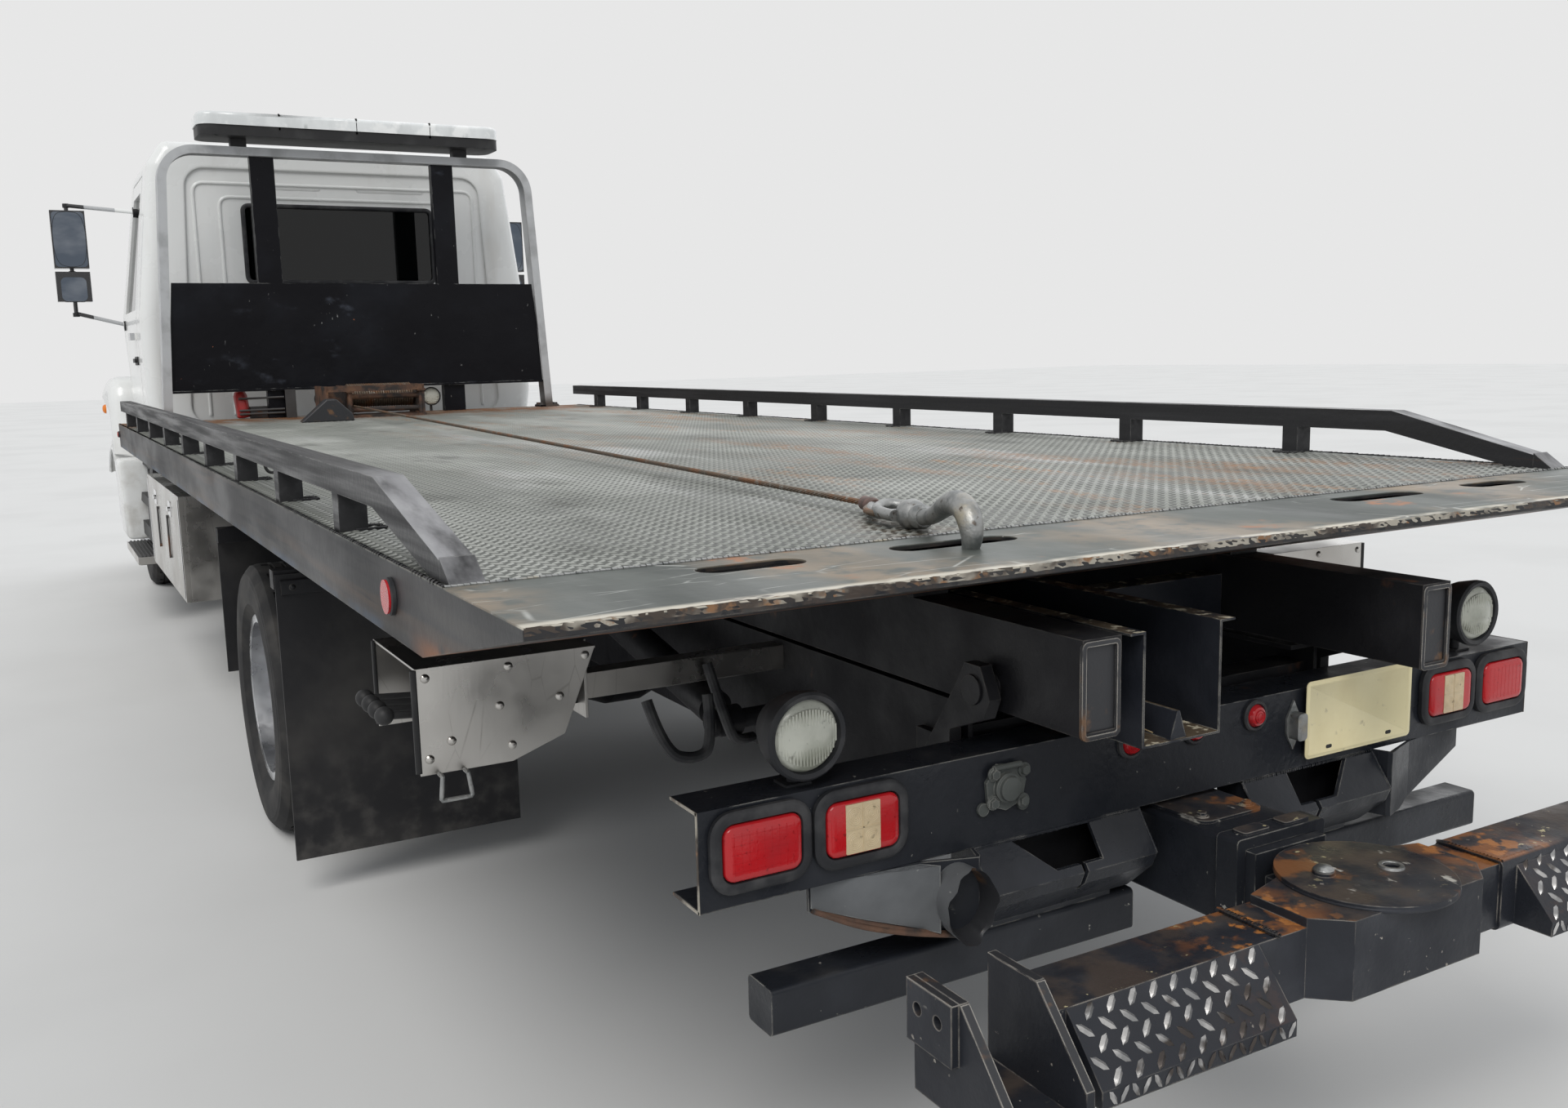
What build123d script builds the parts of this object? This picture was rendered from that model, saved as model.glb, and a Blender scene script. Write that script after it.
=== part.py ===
from build123d import *
import math
import os

# Rollback tow truck with a sliding deck and a folding wheel lift, in millimetres.
# +X is the truck's right, +Y is forward, +Z is up, and Z = 0 is the floor.
# The origin is on the floor, in the middle of the truck's length and width.

# Lengths along the truck, measured forward from the rear face of the light bar
FRONT_REACH = 9420
REAR_REACH = 500
BAR_Y = (REAR_REACH - FRONT_REACH) / 2
NOSE_Y = BAR_Y + FRONT_REACH
REAR_AXLE_Y = BAR_Y + 2720
FRONT_AXLE_Y = NOSE_Y - 1170
CAB_REAR_Y = NOSE_Y - 2720
DECK_TAIL_Y = BAR_Y - 215
DECK_FRONT_Y = CAB_REAR_Y - 310

# Clearances
FIT = 0.05        # running fit of a pin or shaft, on the radius
SEAT = 0.3        # a piece that lies on what carries it
RUN = 6.0         # between pieces that move past each other

# Wheels
TYRE_R = 419
TYRE_W = 245
BEAD_R = 250
RIM_FLANGE_R = 261
RIM_W = 196
RIM_WALL = 13
RIM_FLANGE_T = 7
DISC_T = 14
DISC_OFFSET = 136       # from the middle of a wheel to its mounting face
FRONT_FACE_X = 1085     # outer face of the front tyre
REAR_FACE_X = 1205      # outer face of the outer rear tyre
HUB_R = 95

# Ladder frame
RAIL_TOP = 860
RAIL_H = 254
RAIL_X = 432            # outer face of the web
RAIL_FLANGE = 76
RAIL_T = 9
RAIL_BOTTOM = RAIL_TOP - RAIL_H

# Rear light bar, a channel with its web to the rear
BAR_W = 1970
BAR_H = 154
BAR_BOTTOM = 650
BAR_DEPTH = 90
BAR_T = 5
LAMP_PROUD = 14

# Tilting subframe
TUBE_W = 76
TUBE_H = 152
TUBE_BOTTOM = RAIL_TOP + 8
TUBE_TOP = TUBE_BOTTOM + TUBE_H
TUBE_T = 8
TUBE_END_Y = BAR_Y - 190
TILT_Y = BAR_Y + 30
TILT_Z = 905
TILT_PIN_R = 25

# Deck
DECK_W = 2594
DECK_TOP = 1149
DECK_PLATE = 8
CHANNEL_H = 122
CHANNEL_W = 50
CHANNEL_T = 6
TAIL_BREAK_Y = BAR_Y + 248
SILL_BOTTOM = TUBE_TOP + SEAT
CROSS_H = 72
RAIL_TUBE = 51
GUARD_TOP = 1270
GUARD_FRONT_Y = DECK_FRONT_Y - 110
POST_COUNT = 9
POST_FIRST_Y = BAR_Y + 850
POST_PITCH = (GUARD_FRONT_Y - 370 - POST_FIRST_Y) / (POST_COUNT - 1)
GUARD_BEND_Y = BAR_Y + 540
GUARD_END_Y = BAR_Y + 165

# Cab, as sections seen from the front and from the side
CAB_WALL = 45
CAB_FLOOR = 950
CAB_HALF = 1120
BELT_Z = 1720
ROOF_Z = 2690
DOOR_TOP_Z = ROOF_Z - 180
WINDOW_TOP_Z = ROOF_Z - 260
CAB_ROUND = 90

# Wheel lift
BOOM_W = 190
BOOM_H = 150
BOOM_T = 10
BOOM_BOTTOM = 485
BOOM_MOUTH_Y = BAR_Y - 200
BOOM_PIVOT_Y = BAR_Y + 1250
BOOM_PIVOT_Z = BOOM_BOTTOM + BOOM_H / 2
SWIVEL_Y = BAR_Y - 362
CROSSBAR = 110
CROSSBAR_BOTTOM = 490
CROSSBAR_HALF = 820
RECEIVER_X = (684, 806)     # inner faces of the two receiver plates
RECEIVER_T = 14
DOUBLER_T = 12
PIN_HOLE_R = 9

os.makedirs("parts", exist_ok=True)


def block(x, y, z, mode=Mode.ADD):
    """A box between two corners, each of x, y and z a (low, high) pair."""
    with Locations(((x[0] + x[1]) / 2, (y[0] + y[1]) / 2, (z[0] + z[1]) / 2)):
        Box(x[1] - x[0], y[1] - y[0], z[1] - z[0], mode=mode)


def prism(points, plane, amount, mode=Mode.ADD, both=False):
    """A closed outline on a plane, extruded."""
    with BuildSketch(plane) as outline:
        with BuildLine():
            Polyline(*points, close=True)
        make_face()
    extrude(outline.sketch, amount=amount, both=both, mode=mode)


def rod(start, end, radius, mode=Mode.ADD):
    """A round bar from one point to another."""
    axis = Vector(*end) - Vector(*start)
    with BuildSketch(Plane(origin=start, z_dir=axis)) as circle:
        Circle(radius)
    extrude(circle.sketch, amount=axis.length, mode=mode)


def save(part, name):
    part.label = name
    export_step(part, f"parts/{name}.step")


def side_plane(x):
    """A plane across the truck at x, seen from its right: local x is +Y, local y is +Z."""
    return Plane.YZ.offset(x)


def cross_plane(y):
    """A plane across the truck at y: local x is +X, local y is +Z, drawn towards the rear."""
    return Plane.XZ.offset(-y)


def wheel_plane(y):
    """The plane through a wheel's axis: local x is +X, local y is up from the axle."""
    return Plane(origin=(0, y, TYRE_R), x_dir=(1, 0, 0), z_dir=(0, -1, 0))


def wheel_axis(y):
    return Axis((0, y, TYRE_R), (1, 0, 0))


def revolved(points, y, mode=Mode.ADD):
    """An outline of (x, radius) points, turned about a wheel's axis."""
    with BuildSketch(wheel_plane(y)) as outline:
        with BuildLine():
            Polyline(*points, close=True)
        make_face()
    revolve(outline.sketch, axis=wheel_axis(y), mode=mode)


# Tyres

def tyre(centre_x, y):
    """Tread flat across the top, shoulders, bulged walls and beads on the rim."""
    half = TYRE_W / 2
    bead = RIM_W / 2 - RIM_FLANGE_T - SEAT
    outline = [
        (-bead, BEAD_R), (-bead, RIM_FLANGE_R + 3), (-half + 6, BEAD_R + 45), (-half, BEAD_R + 85),
        (-half + 5, TYRE_R - 30), (-half + 26, TYRE_R - 4), (-half + 45, TYRE_R),
        (half - 45, TYRE_R), (half - 26, TYRE_R - 4), (half - 5, TYRE_R - 30),
        (half, BEAD_R + 85), (half - 6, BEAD_R + 45), (bead, RIM_FLANGE_R + 3), (bead, BEAD_R),
    ]
    revolved([(centre_x + x, r) for x, r in outline], y)


def rim(centre_x, y, outward):
    """A drop rim with its disc on the side that `outward` (+1 or -1) points to."""
    half = RIM_W / 2
    well = half - RIM_FLANGE_T
    inner = BEAD_R - SEAT - RIM_WALL
    face = outward * DISC_OFFSET
    back = face - outward * DISC_T
    edge = outward * (half - 30)
    barrel = [
        (-half, inner), (-half, RIM_FLANGE_R), (-well, RIM_FLANGE_R), (-well, BEAD_R - SEAT),
        (well, BEAD_R - SEAT), (well, RIM_FLANGE_R), (half, RIM_FLANGE_R), (half, inner),
    ]
    revolved([(centre_x + x, r) for x, r in barrel], y)
    disc = [
        (back, HUB_R - 5), (face, HUB_R - 5), (face, 175), (edge + outward * 18, inner + 1),
        (edge, inner + 1), (back, 165),
    ]
    revolved([(centre_x + x, r) for x, r in disc], y)
    # hand holes
    for i in range(8):
        turn = math.radians(22.5 + 45 * i)
        rod((centre_x + back - outward * 3, y + 150 * math.cos(turn), TYRE_R + 150 * math.sin(turn)),
            (centre_x + face + outward * 3, y + 150 * math.cos(turn), TYRE_R + 150 * math.sin(turn)), 16,
            mode=Mode.SUBTRACT)


front_centre = FRONT_FACE_X - TYRE_W / 2
outer_centre = REAR_FACE_X - TYRE_W / 2
inner_centre = outer_centre - 2 * DISC_OFFSET
mount_x = outer_centre - DISC_OFFSET
SPINDLE_R = 35
REAR_SPINDLE_R = 45
KINGPIN_X = 860
DRUM_R = 205

for side, name in ((-1, "left"), (1, "right")):
    with BuildPart() as tyre_front:
        tyre(side * front_centre, FRONT_AXLE_Y)
    save(tyre_front.part, f"tyre_front_{name}")

    with BuildPart() as rim_front:
        rim(side * front_centre, FRONT_AXLE_Y, side)
        hub = [(918, 0), (918, 150), (960, 150), (966, HUB_R), (front_centre + DISC_OFFSET + 12, HUB_R),
               (front_centre + DISC_OFFSET + 30, 60), (front_centre + DISC_OFFSET + 30, 0)]
        revolved([(side * x, r) for x, r in hub], FRONT_AXLE_Y)
        bore = [(910, 0), (910, SPINDLE_R + FIT), (1092, SPINDLE_R + FIT), (1092, 0)]
        revolved([(side * x, r) for x, r in bore], FRONT_AXLE_Y, mode=Mode.SUBTRACT)
    save(rim_front.part, f"rim_front_{name}")

    with BuildPart() as tyres_rear:
        tyre(side * outer_centre, REAR_AXLE_Y)
        tyre(side * inner_centre, REAR_AXLE_Y)
    save(tyres_rear.part, f"tyres_rear_{name}")

    with BuildPart() as rims_rear:
        rim(side * outer_centre, REAR_AXLE_Y, -side)
        rim(side * inner_centre, REAR_AXLE_Y, side)
        drum = [(740, 0), (740, DRUM_R), (mount_x - DISC_T - 2, DRUM_R), (mount_x - DISC_T + 2, 150),
                (mount_x, HUB_R), (mount_x + 60, HUB_R), (mount_x + 70, 70), (mount_x + 95, 66), (mount_x + 95, 0)]
        revolved([(side * x, r) for x, r in drum], REAR_AXLE_Y)
        bore = [(735, 0), (735, REAR_SPINDLE_R + FIT), (1000, REAR_SPINDLE_R + FIT), (1000, 0)]
        revolved([(side * x, r) for x, r in bore], REAR_AXLE_Y, mode=Mode.SUBTRACT)
    save(rims_rear.part, f"rims_rear_{name}")

# Axles, knuckles and springs

EYE_R = 40
EYE_HALF = 40
KINGPIN_R = 22

with BuildPart() as front_axle:
    beam = [
        (-KINGPIN_X, TYRE_R - 32), (-KINGPIN_X, TYRE_R + 32), (-700, TYRE_R + 30), (-560, TYRE_R - 10),
        (560, TYRE_R - 10), (700, TYRE_R + 30), (KINGPIN_X, TYRE_R + 32), (KINGPIN_X, TYRE_R - 32),
        (700, TYRE_R - 50), (560, TYRE_R - 95), (-560, TYRE_R - 95), (-700, TYRE_R - 50),
    ]
    prism(beam, cross_plane(FRONT_AXLE_Y), 35, both=True)
    for side in (-1, 1):
        x = side * KINGPIN_X
        rod((x, FRONT_AXLE_Y, TYRE_R - EYE_HALF), (x, FRONT_AXLE_Y, TYRE_R + EYE_HALF), EYE_R)
        block(sorted((x + side * 1, x + side * 80)), (FRONT_AXLE_Y - 60, FRONT_AXLE_Y + 60),
              (TYRE_R - 60, TYRE_R - EYE_HALF), mode=Mode.SUBTRACT)
        rod((x, FRONT_AXLE_Y, TYRE_R - 120), (x, FRONT_AXLE_Y, TYRE_R + 120), KINGPIN_R + FIT, mode=Mode.SUBTRACT)
save(front_axle.part, "front_axle")

for side, name in ((-1, "left"), (1, "right")):
    with BuildPart() as knuckle:
        x = side * KINGPIN_X
        for low, high in ((-78, -EYE_HALF - 1), (EYE_HALF + 1, 78)):
            block(sorted((x - side * 30, x + side * 46)), (FRONT_AXLE_Y - 34, FRONT_AXLE_Y + 34),
                  (TYRE_R + low, TYRE_R + high))
        block(sorted((x + side * 45.5, x + side * 54)), (FRONT_AXLE_Y - 50, FRONT_AXLE_Y + 50),
              (TYRE_R - 78, TYRE_R + 78))
        rod((x, FRONT_AXLE_Y, TYRE_R - 84), (x, FRONT_AXLE_Y, TYRE_R + 84), KINGPIN_R)
        rod((x + side * 50, FRONT_AXLE_Y, TYRE_R), (side * 1088, FRONT_AXLE_Y, TYRE_R), SPINDLE_R)
    save(knuckle.part, f"knuckle_{name}")

with BuildPart() as rear_axle:
    housing = [
        (-990, 0), (-990, REAR_SPINDLE_R), (-733, REAR_SPINDLE_R), (-733, 62), (-230, 62), (-150, 150),
        (-60, 185), (60, 185), (150, 150), (230, 62), (733, 62), (733, REAR_SPINDLE_R), (990, REAR_SPINDLE_R),
        (990, 0),
    ]
    revolved(housing, REAR_AXLE_Y)
    rod((0, REAR_AXLE_Y, TYRE_R), (0, REAR_AXLE_Y + 330, TYRE_R + 20), 75)
save(rear_axle.part, "rear_axle")

SPRING_X = (RAIL_X - RAIL_FLANGE, RAIL_X)
with BuildPart() as leaf_springs:
    for axle_y, seat_z, reach, rise in ((FRONT_AXLE_Y, TYRE_R - 10, 640, 100), (REAR_AXLE_Y, TYRE_R + 62, 680, 60)):
        low = seat_z + SEAT
        pack = [
            (axle_y - reach, low + rise), (axle_y - 250, low), (axle_y + 250, low), (axle_y + reach, low + rise),
            (axle_y + reach, low + rise + 25), (axle_y + 250, low + 62), (axle_y - 250, low + 62),
            (axle_y - reach, low + rise + 25),
        ]
        prism(pack, side_plane(SPRING_X[0]), TUBE_W)
        for end in (-1, 1):
            y = axle_y + end * (reach - 30)
            block(SPRING_X, (y - 30, y + 30), (low + rise - 5, RAIL_BOTTOM - SEAT))
    mirror(about=Plane.YZ)
save(leaf_springs.part, "leaf_springs")

# Ladder frame: two channel rails with the bed's hinge lugs and cylinder pins

HOOD_HINGE = (NOSE_Y - 60, 640)
HINGE_X = 326
HINGE_PIN_R = 14

RAIL_REAR_Y = BAR_Y + BAR_DEPTH + SEAT
RAIL_FRONT_Y = NOSE_Y - 190
CROSS_Z = (700, 815)
CROSS_HALF = RAIL_X - RAIL_T - SEAT
LUG_X = (RAIL_X + 14, RAIL_X + 38)
TILT_BASE = (BAR_Y + 750, 700)
TILT_EYE = (BAR_Y + 2000, 945)
TILT_CYL_X = 550
LIFT_BASE = (BAR_Y + 1950, 760)
LIFT_EYE = (BAR_Y + 550, 690)
FLAP_ARM_Y = (BAR_Y + 2083, BAR_Y + 3180)
BOX_ARM_Y = (CAB_REAR_Y - 2200, CAB_REAR_Y - 900)
OUTRIGGER = 50
OUTRIGGER_TOP = RAIL_TOP + 50
UNDERRIDE_Z = (415, 491)

with BuildPart() as frame_rails:
    section = [
        (RAIL_X, RAIL_BOTTOM), (RAIL_X, RAIL_TOP), (RAIL_X - RAIL_FLANGE, RAIL_TOP),
        (RAIL_X - RAIL_FLANGE, RAIL_TOP - RAIL_T), (RAIL_X - RAIL_T, RAIL_TOP - RAIL_T),
        (RAIL_X - RAIL_T, RAIL_BOTTOM + RAIL_T), (RAIL_X - RAIL_FLANGE, RAIL_BOTTOM + RAIL_T),
        (RAIL_X - RAIL_FLANGE, RAIL_BOTTOM),
    ]
    prism(section, cross_plane(RAIL_REAR_Y), -(RAIL_FRONT_Y - RAIL_REAR_Y))
    # hinge lug of the tilting subframe
    prism([(TILT_Y - 45, TILT_Z - 10), (TILT_Y - 20, TILT_Z + 42), (TILT_Y + 20, TILT_Z + 42), (TILT_Y + 45, TILT_Z),
           (RAIL_REAR_Y + 150, RAIL_BOTTOM + 60), (RAIL_REAR_Y + 2, RAIL_BOTTOM + 60),
           (RAIL_REAR_Y + 2, BAR_BOTTOM + BAR_H + 20), (TILT_Y - 30, TILT_Z - 45)], side_plane(LUG_X[0]),
          LUG_X[1] - LUG_X[0])
    block((RAIL_X - 1, LUG_X[0] + 1), (RAIL_REAR_Y + 10, RAIL_REAR_Y + 130), (RAIL_BOTTOM + 70, RAIL_BOTTOM + 190))
    rod((LUG_X[0] - 5, TILT_Y, TILT_Z), (LUG_X[1] + 5, TILT_Y, TILT_Z), TILT_PIN_R + FIT, mode=Mode.SUBTRACT)
    # pin of the tilt cylinder
    rod((RAIL_X - 4, *TILT_BASE), (TILT_CYL_X + 45, *TILT_BASE), 20)
    rod((TILT_CYL_X + 32, *TILT_BASE), (TILT_CYL_X + 45, *TILT_BASE), 30)
    # hangers of the underride bar
    block((RAIL_X - 60, RAIL_X), (RAIL_REAR_Y, RAIL_REAR_Y + 12), (UNDERRIDE_Z[1] + SEAT, RAIL_TOP - 60))
    mirror(about=Plane.YZ)
save(frame_rails.part, "frame_rails")

# Crossmembers between the rails, with the boom's hanger, the lift cylinder's pin and the hood's brackets

with BuildPart() as crossmembers:
    block((BOOM_W / 2 + 10, CROSS_HALF), (BOOM_PIVOT_Y - 60, BOOM_PIVOT_Y + 60), CROSS_Z)
    block((BOOM_W / 2 + 10, BOOM_W / 2 + 34), (BOOM_PIVOT_Y - 70, BOOM_PIVOT_Y + 70), (BOOM_PIVOT_Z - 50, CROSS_Z[1]))
    rod((BOOM_W / 2, BOOM_PIVOT_Y, BOOM_PIVOT_Z), (BOOM_W / 2 + 50, BOOM_PIVOT_Y, BOOM_PIVOT_Z), 30 + FIT,
        mode=Mode.SUBTRACT)
    # bracket of the hood's hinge
    prism([(RAIL_FRONT_Y - 60, 690), (RAIL_FRONT_Y - 60, 625), (HOOD_HINGE[0] - 10, HOOD_HINGE[1] - 28),
           (HOOD_HINGE[0] + 22, HOOD_HINGE[1] - 10), (HOOD_HINGE[0] + 22, HOOD_HINGE[1] + 15),
           (HOOD_HINGE[0] - 10, HOOD_HINGE[1] + 28)], side_plane(HINGE_X), 16)
    rod((HINGE_X - 5, *HOOD_HINGE), (HINGE_X + 21, *HOOD_HINGE), HINGE_PIN_R + FIT, mode=Mode.SUBTRACT)
    mirror(about=Plane.YZ)
    for y in (RAIL_REAR_Y + 60, BAR_Y + 2050, BAR_Y + 3600, CAB_REAR_Y - 1700, CAB_REAR_Y - 300):
        block((-CROSS_HALF, CROSS_HALF), (y - 35, y + 35), CROSS_Z)
    block((-CROSS_HALF, CROSS_HALF), (RAIL_FRONT_Y - 90, RAIL_FRONT_Y - 20), (620, 700))
    for x in (-48, 26):
        block((x, x + 22), (LIFT_BASE[0] - 30, BAR_Y + 2020), (LIFT_BASE[1] - 32, LIFT_BASE[1] + 32))
    rod((-30, *LIFT_BASE), (30, *LIFT_BASE), 15)
save(crossmembers.part, "crossmembers")

# Outriggers on the rails that carry flaps and toolboxes

with BuildPart() as outriggers:
    for y in FLAP_ARM_Y:
        block((RAIL_X + 8, 1225), (y - OUTRIGGER / 2, y + OUTRIGGER / 2), (OUTRIGGER_TOP - OUTRIGGER, OUTRIGGER_TOP))
        block((RAIL_X + 8, RAIL_X + 22), (y - 60, y + 60), (RAIL_BOTTOM + 60, OUTRIGGER_TOP))
        block((RAIL_X + SEAT, RAIL_X + 9), (y - 60, y + 60), (RAIL_BOTTOM + 60, RAIL_TOP - 10))
    for y in BOX_ARM_Y:
        block((RAIL_X + SEAT, 722), (y + 60, y + 140), (RAIL_TOP - 110, RAIL_TOP - 30))
    mirror(about=Plane.YZ)
save(outriggers.part, "outriggers")

# Engine with gearbox and propeller shaft

with BuildPart() as powertrain:
    block((-300, 300), (FRONT_AXLE_Y - 200, FRONT_AXLE_Y + 700), (640, 1380))
    prism([(CAB_REAR_Y + 300, 520), (CAB_REAR_Y + 300, 760), (CAB_REAR_Y + 800, 880), (FRONT_AXLE_Y - 199, 900),
           (FRONT_AXLE_Y - 199, 640), (CAB_REAR_Y + 800, 470)], side_plane(-190), 380)
    rod((0, REAR_AXLE_Y + 335, TYRE_R + 20), (0, CAB_REAR_Y + 301, 640), 50)
    for x in (-1, 1):
        block(sorted((x * 299, x * (RAIL_X - RAIL_T - SEAT))), (FRONT_AXLE_Y + 100, FRONT_AXLE_Y + 220), (700, 770))
    block((-340, 340), (RAIL_FRONT_Y - 85, RAIL_FRONT_Y - 25), (700 + SEAT, 1290))
    rod((0, FRONT_AXLE_Y + 699, 1000), (0, RAIL_FRONT_Y - 84, 1000), 90)
save(powertrain.part, "powertrain")

# Fuel tank on the right and muffler on the left, hung from the rails

with BuildPart() as fuel_tank:
    rod((790, CAB_REAR_Y - 740, 590), (790, CAB_REAR_Y - 40, 590), 290)
    for y in (CAB_REAR_Y - 620, CAB_REAR_Y - 200):
        block((RAIL_X + SEAT, 560), (y, y + 60), (640, 720))
        # straps round the tank
        rod((790, y + 5, 590), (790, y + 55, 590), 294)
save(fuel_tank.part, "fuel_tank")

with BuildPart() as exhaust:
    rod((-590, CAB_REAR_Y - 700, 560), (-590, CAB_REAR_Y + 200, 560), 110)
    rod((-590, BAR_Y + 3700, 560), (-590, CAB_REAR_Y - 699, 560), 45)
    for y in (CAB_REAR_Y - 550, CAB_REAR_Y):
        block((-560, -RAIL_X - SEAT), (y, y + 40), (620, 664))
        rod((-590, y, 560), (-590, y + 40, 560), 114)
save(exhaust.part, "exhaust")

# Cab

# the line where the cab meets the hood, from the floor up to the windscreen's foot
CAB_FRONT = [(1040, CAB_FLOOR), (1040, 1150), (1130, 1450), (1230, 1650), (1295, 1750)]
windscreen_foot = (CAB_REAR_Y + CAB_FRONT[-1][0], CAB_FRONT[-1][1])
windscreen_head = (CAB_REAR_Y + 920, ROOF_Z - 30)


def cab_form(inset):
    """The cab's outer form, with every face moved in by `inset`."""
    half = [
        (CAB_HALF - 45, CAB_FLOOR), (CAB_HALF, 1250), (CAB_HALF, BELT_Z), (CAB_HALF - 105, ROOF_Z - 130),
        (CAB_HALF - 190, ROOF_Z),
    ]
    front = [(-x, z) for x, z in half] + half[::-1]
    profile = [
        (CAB_REAR_Y, CAB_FLOOR), *[(CAB_REAR_Y + y, z) for y, z in CAB_FRONT], windscreen_head,
        (CAB_REAR_Y + 700, ROOF_Z), (CAB_REAR_Y, ROOF_Z - 5),
    ]
    with BuildPart() as form:
        with BuildSketch(cross_plane(CAB_REAR_Y - 50)):
            with BuildLine():
                FilletPolyline(*front, radius=CAB_ROUND, close=True)
            make_face()
            if inset:
                offset(amount=-inset, kind=Kind.INTERSECTION, mode=Mode.REPLACE)
        extrude(amount=-1500)
        with BuildSketch(side_plane(0)):
            with BuildLine():
                Polyline(*profile, close=True)
            make_face()
            if inset:
                offset(amount=-inset, kind=Kind.INTERSECTION, mode=Mode.REPLACE)
        extrude(amount=1300, both=True, mode=Mode.INTERSECT)
        fillet(form.faces().sort_by(Axis.Y)[0].edges(), radius=CAB_ROUND - 15 - inset)
    return form.part


DOOR_REAR_Y = CAB_REAR_Y + 280
DOOR_FRONT_Y = CAB_REAR_Y + 1165
DOOR_GAP_REAR = 11
door_outline = [
    (DOOR_REAR_Y, 1020), (CAB_REAR_Y + 985, 1020), (CAB_REAR_Y + 985, 1160), (CAB_REAR_Y + 1072, 1450),
    (DOOR_FRONT_Y, 1630), (DOOR_FRONT_Y, 1765), (CAB_REAR_Y + 860, DOOR_TOP_Z), (DOOR_REAR_Y, DOOR_TOP_Z),
]
door_window = [
    (DOOR_REAR_Y + 75, 1770), (DOOR_FRONT_Y - 75, 1770), (CAB_REAR_Y + 820, WINDOW_TOP_Z),
    (DOOR_REAR_Y + 75, WINDOW_TOP_Z),
]
rear_window = [(-535, 1915), (535, 1915), (535, ROOF_Z - 350), (-535, ROOF_Z - 350)]
rear_panel = [(-900, 1110), (900, 1110), (830, ROOF_Z - 150), (-830, ROOF_Z - 150)]
PANEL_DEEP = 13
screen_slope = Vector(0, windscreen_head[0] - windscreen_foot[0], windscreen_head[1] - windscreen_foot[1])
screen_plane = Plane(
    origin=(0, *windscreen_foot), x_dir=(1, 0, 0),
    z_dir=Vector(1, 0, 0).cross(screen_slope.normalized()),
)
screen_outline = [
    (-CAB_HALF + 160, 70), (CAB_HALF - 160, 70), (CAB_HALF - 270, screen_slope.length - 60),
    (-CAB_HALF + 270, screen_slope.length - 60),
]


def grown(points, amount, radius=0):
    """An outline's face moved out by `amount`, with its corners rounded first."""
    with BuildSketch() as shape:
        with BuildLine():
            if radius:
                FilletPolyline(*points, radius=radius, close=True)
            else:
                Polyline(*points, close=True)
        make_face()
        if amount:
            offset(amount=amount, kind=Kind.INTERSECTION, mode=Mode.REPLACE)
    return shape.sketch


outer_cab = cab_form(0)
inner_cab = cab_form(CAB_WALL)
with BuildPart() as cab_shell:
    add(outer_cab)
    add(inner_cab, mode=Mode.SUBTRACT)
    extrude(side_plane(0) * grown(door_outline, RUN), amount=1300, both=True, mode=Mode.SUBTRACT)
    # a wider gap behind the door's top, where its thickness swings through
    prism([(DOOR_REAR_Y - DOOR_GAP_REAR, 1020 - RUN), (DOOR_REAR_Y, 1020 - RUN), (DOOR_REAR_Y, DOOR_TOP_Z + RUN),
           (DOOR_REAR_Y - DOOR_GAP_REAR - 8, DOOR_TOP_Z + RUN), (DOOR_REAR_Y - DOOR_GAP_REAR, BELT_Z)], side_plane(0),
          1300, both=True, mode=Mode.SUBTRACT)
    # pressed panel of the rear wall, with the window in it
    extrude(cross_plane(CAB_REAR_Y + PANEL_DEEP) * grown(rear_panel, 0, 110), amount=60, mode=Mode.SUBTRACT)
    extrude(cross_plane(CAB_REAR_Y + 60) * grown(rear_window, 0, 40), amount=120, mode=Mode.SUBTRACT)
    extrude(screen_plane * grown(screen_outline, 0), amount=70, both=True, mode=Mode.SUBTRACT)
    # mounts on the frame rails
    for x in (-394, 394):
        for y in (160, 880):
            block((x - 34, x + 34), (CAB_REAR_Y + y - 40, CAB_REAR_Y + y + 40), (RAIL_TOP + SEAT, CAB_FLOOR + 1))
save(cab_shell.part, "cab_shell")

with BuildPart() as cab_glass:
    extrude(cross_plane(CAB_REAR_Y + 32) * grown(rear_window, -SEAT, 40), amount=8)
    extrude(screen_plane.offset(24) * grown(screen_outline, -SEAT), amount=8)
save(cab_glass.part, "cab_glass")

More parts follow.
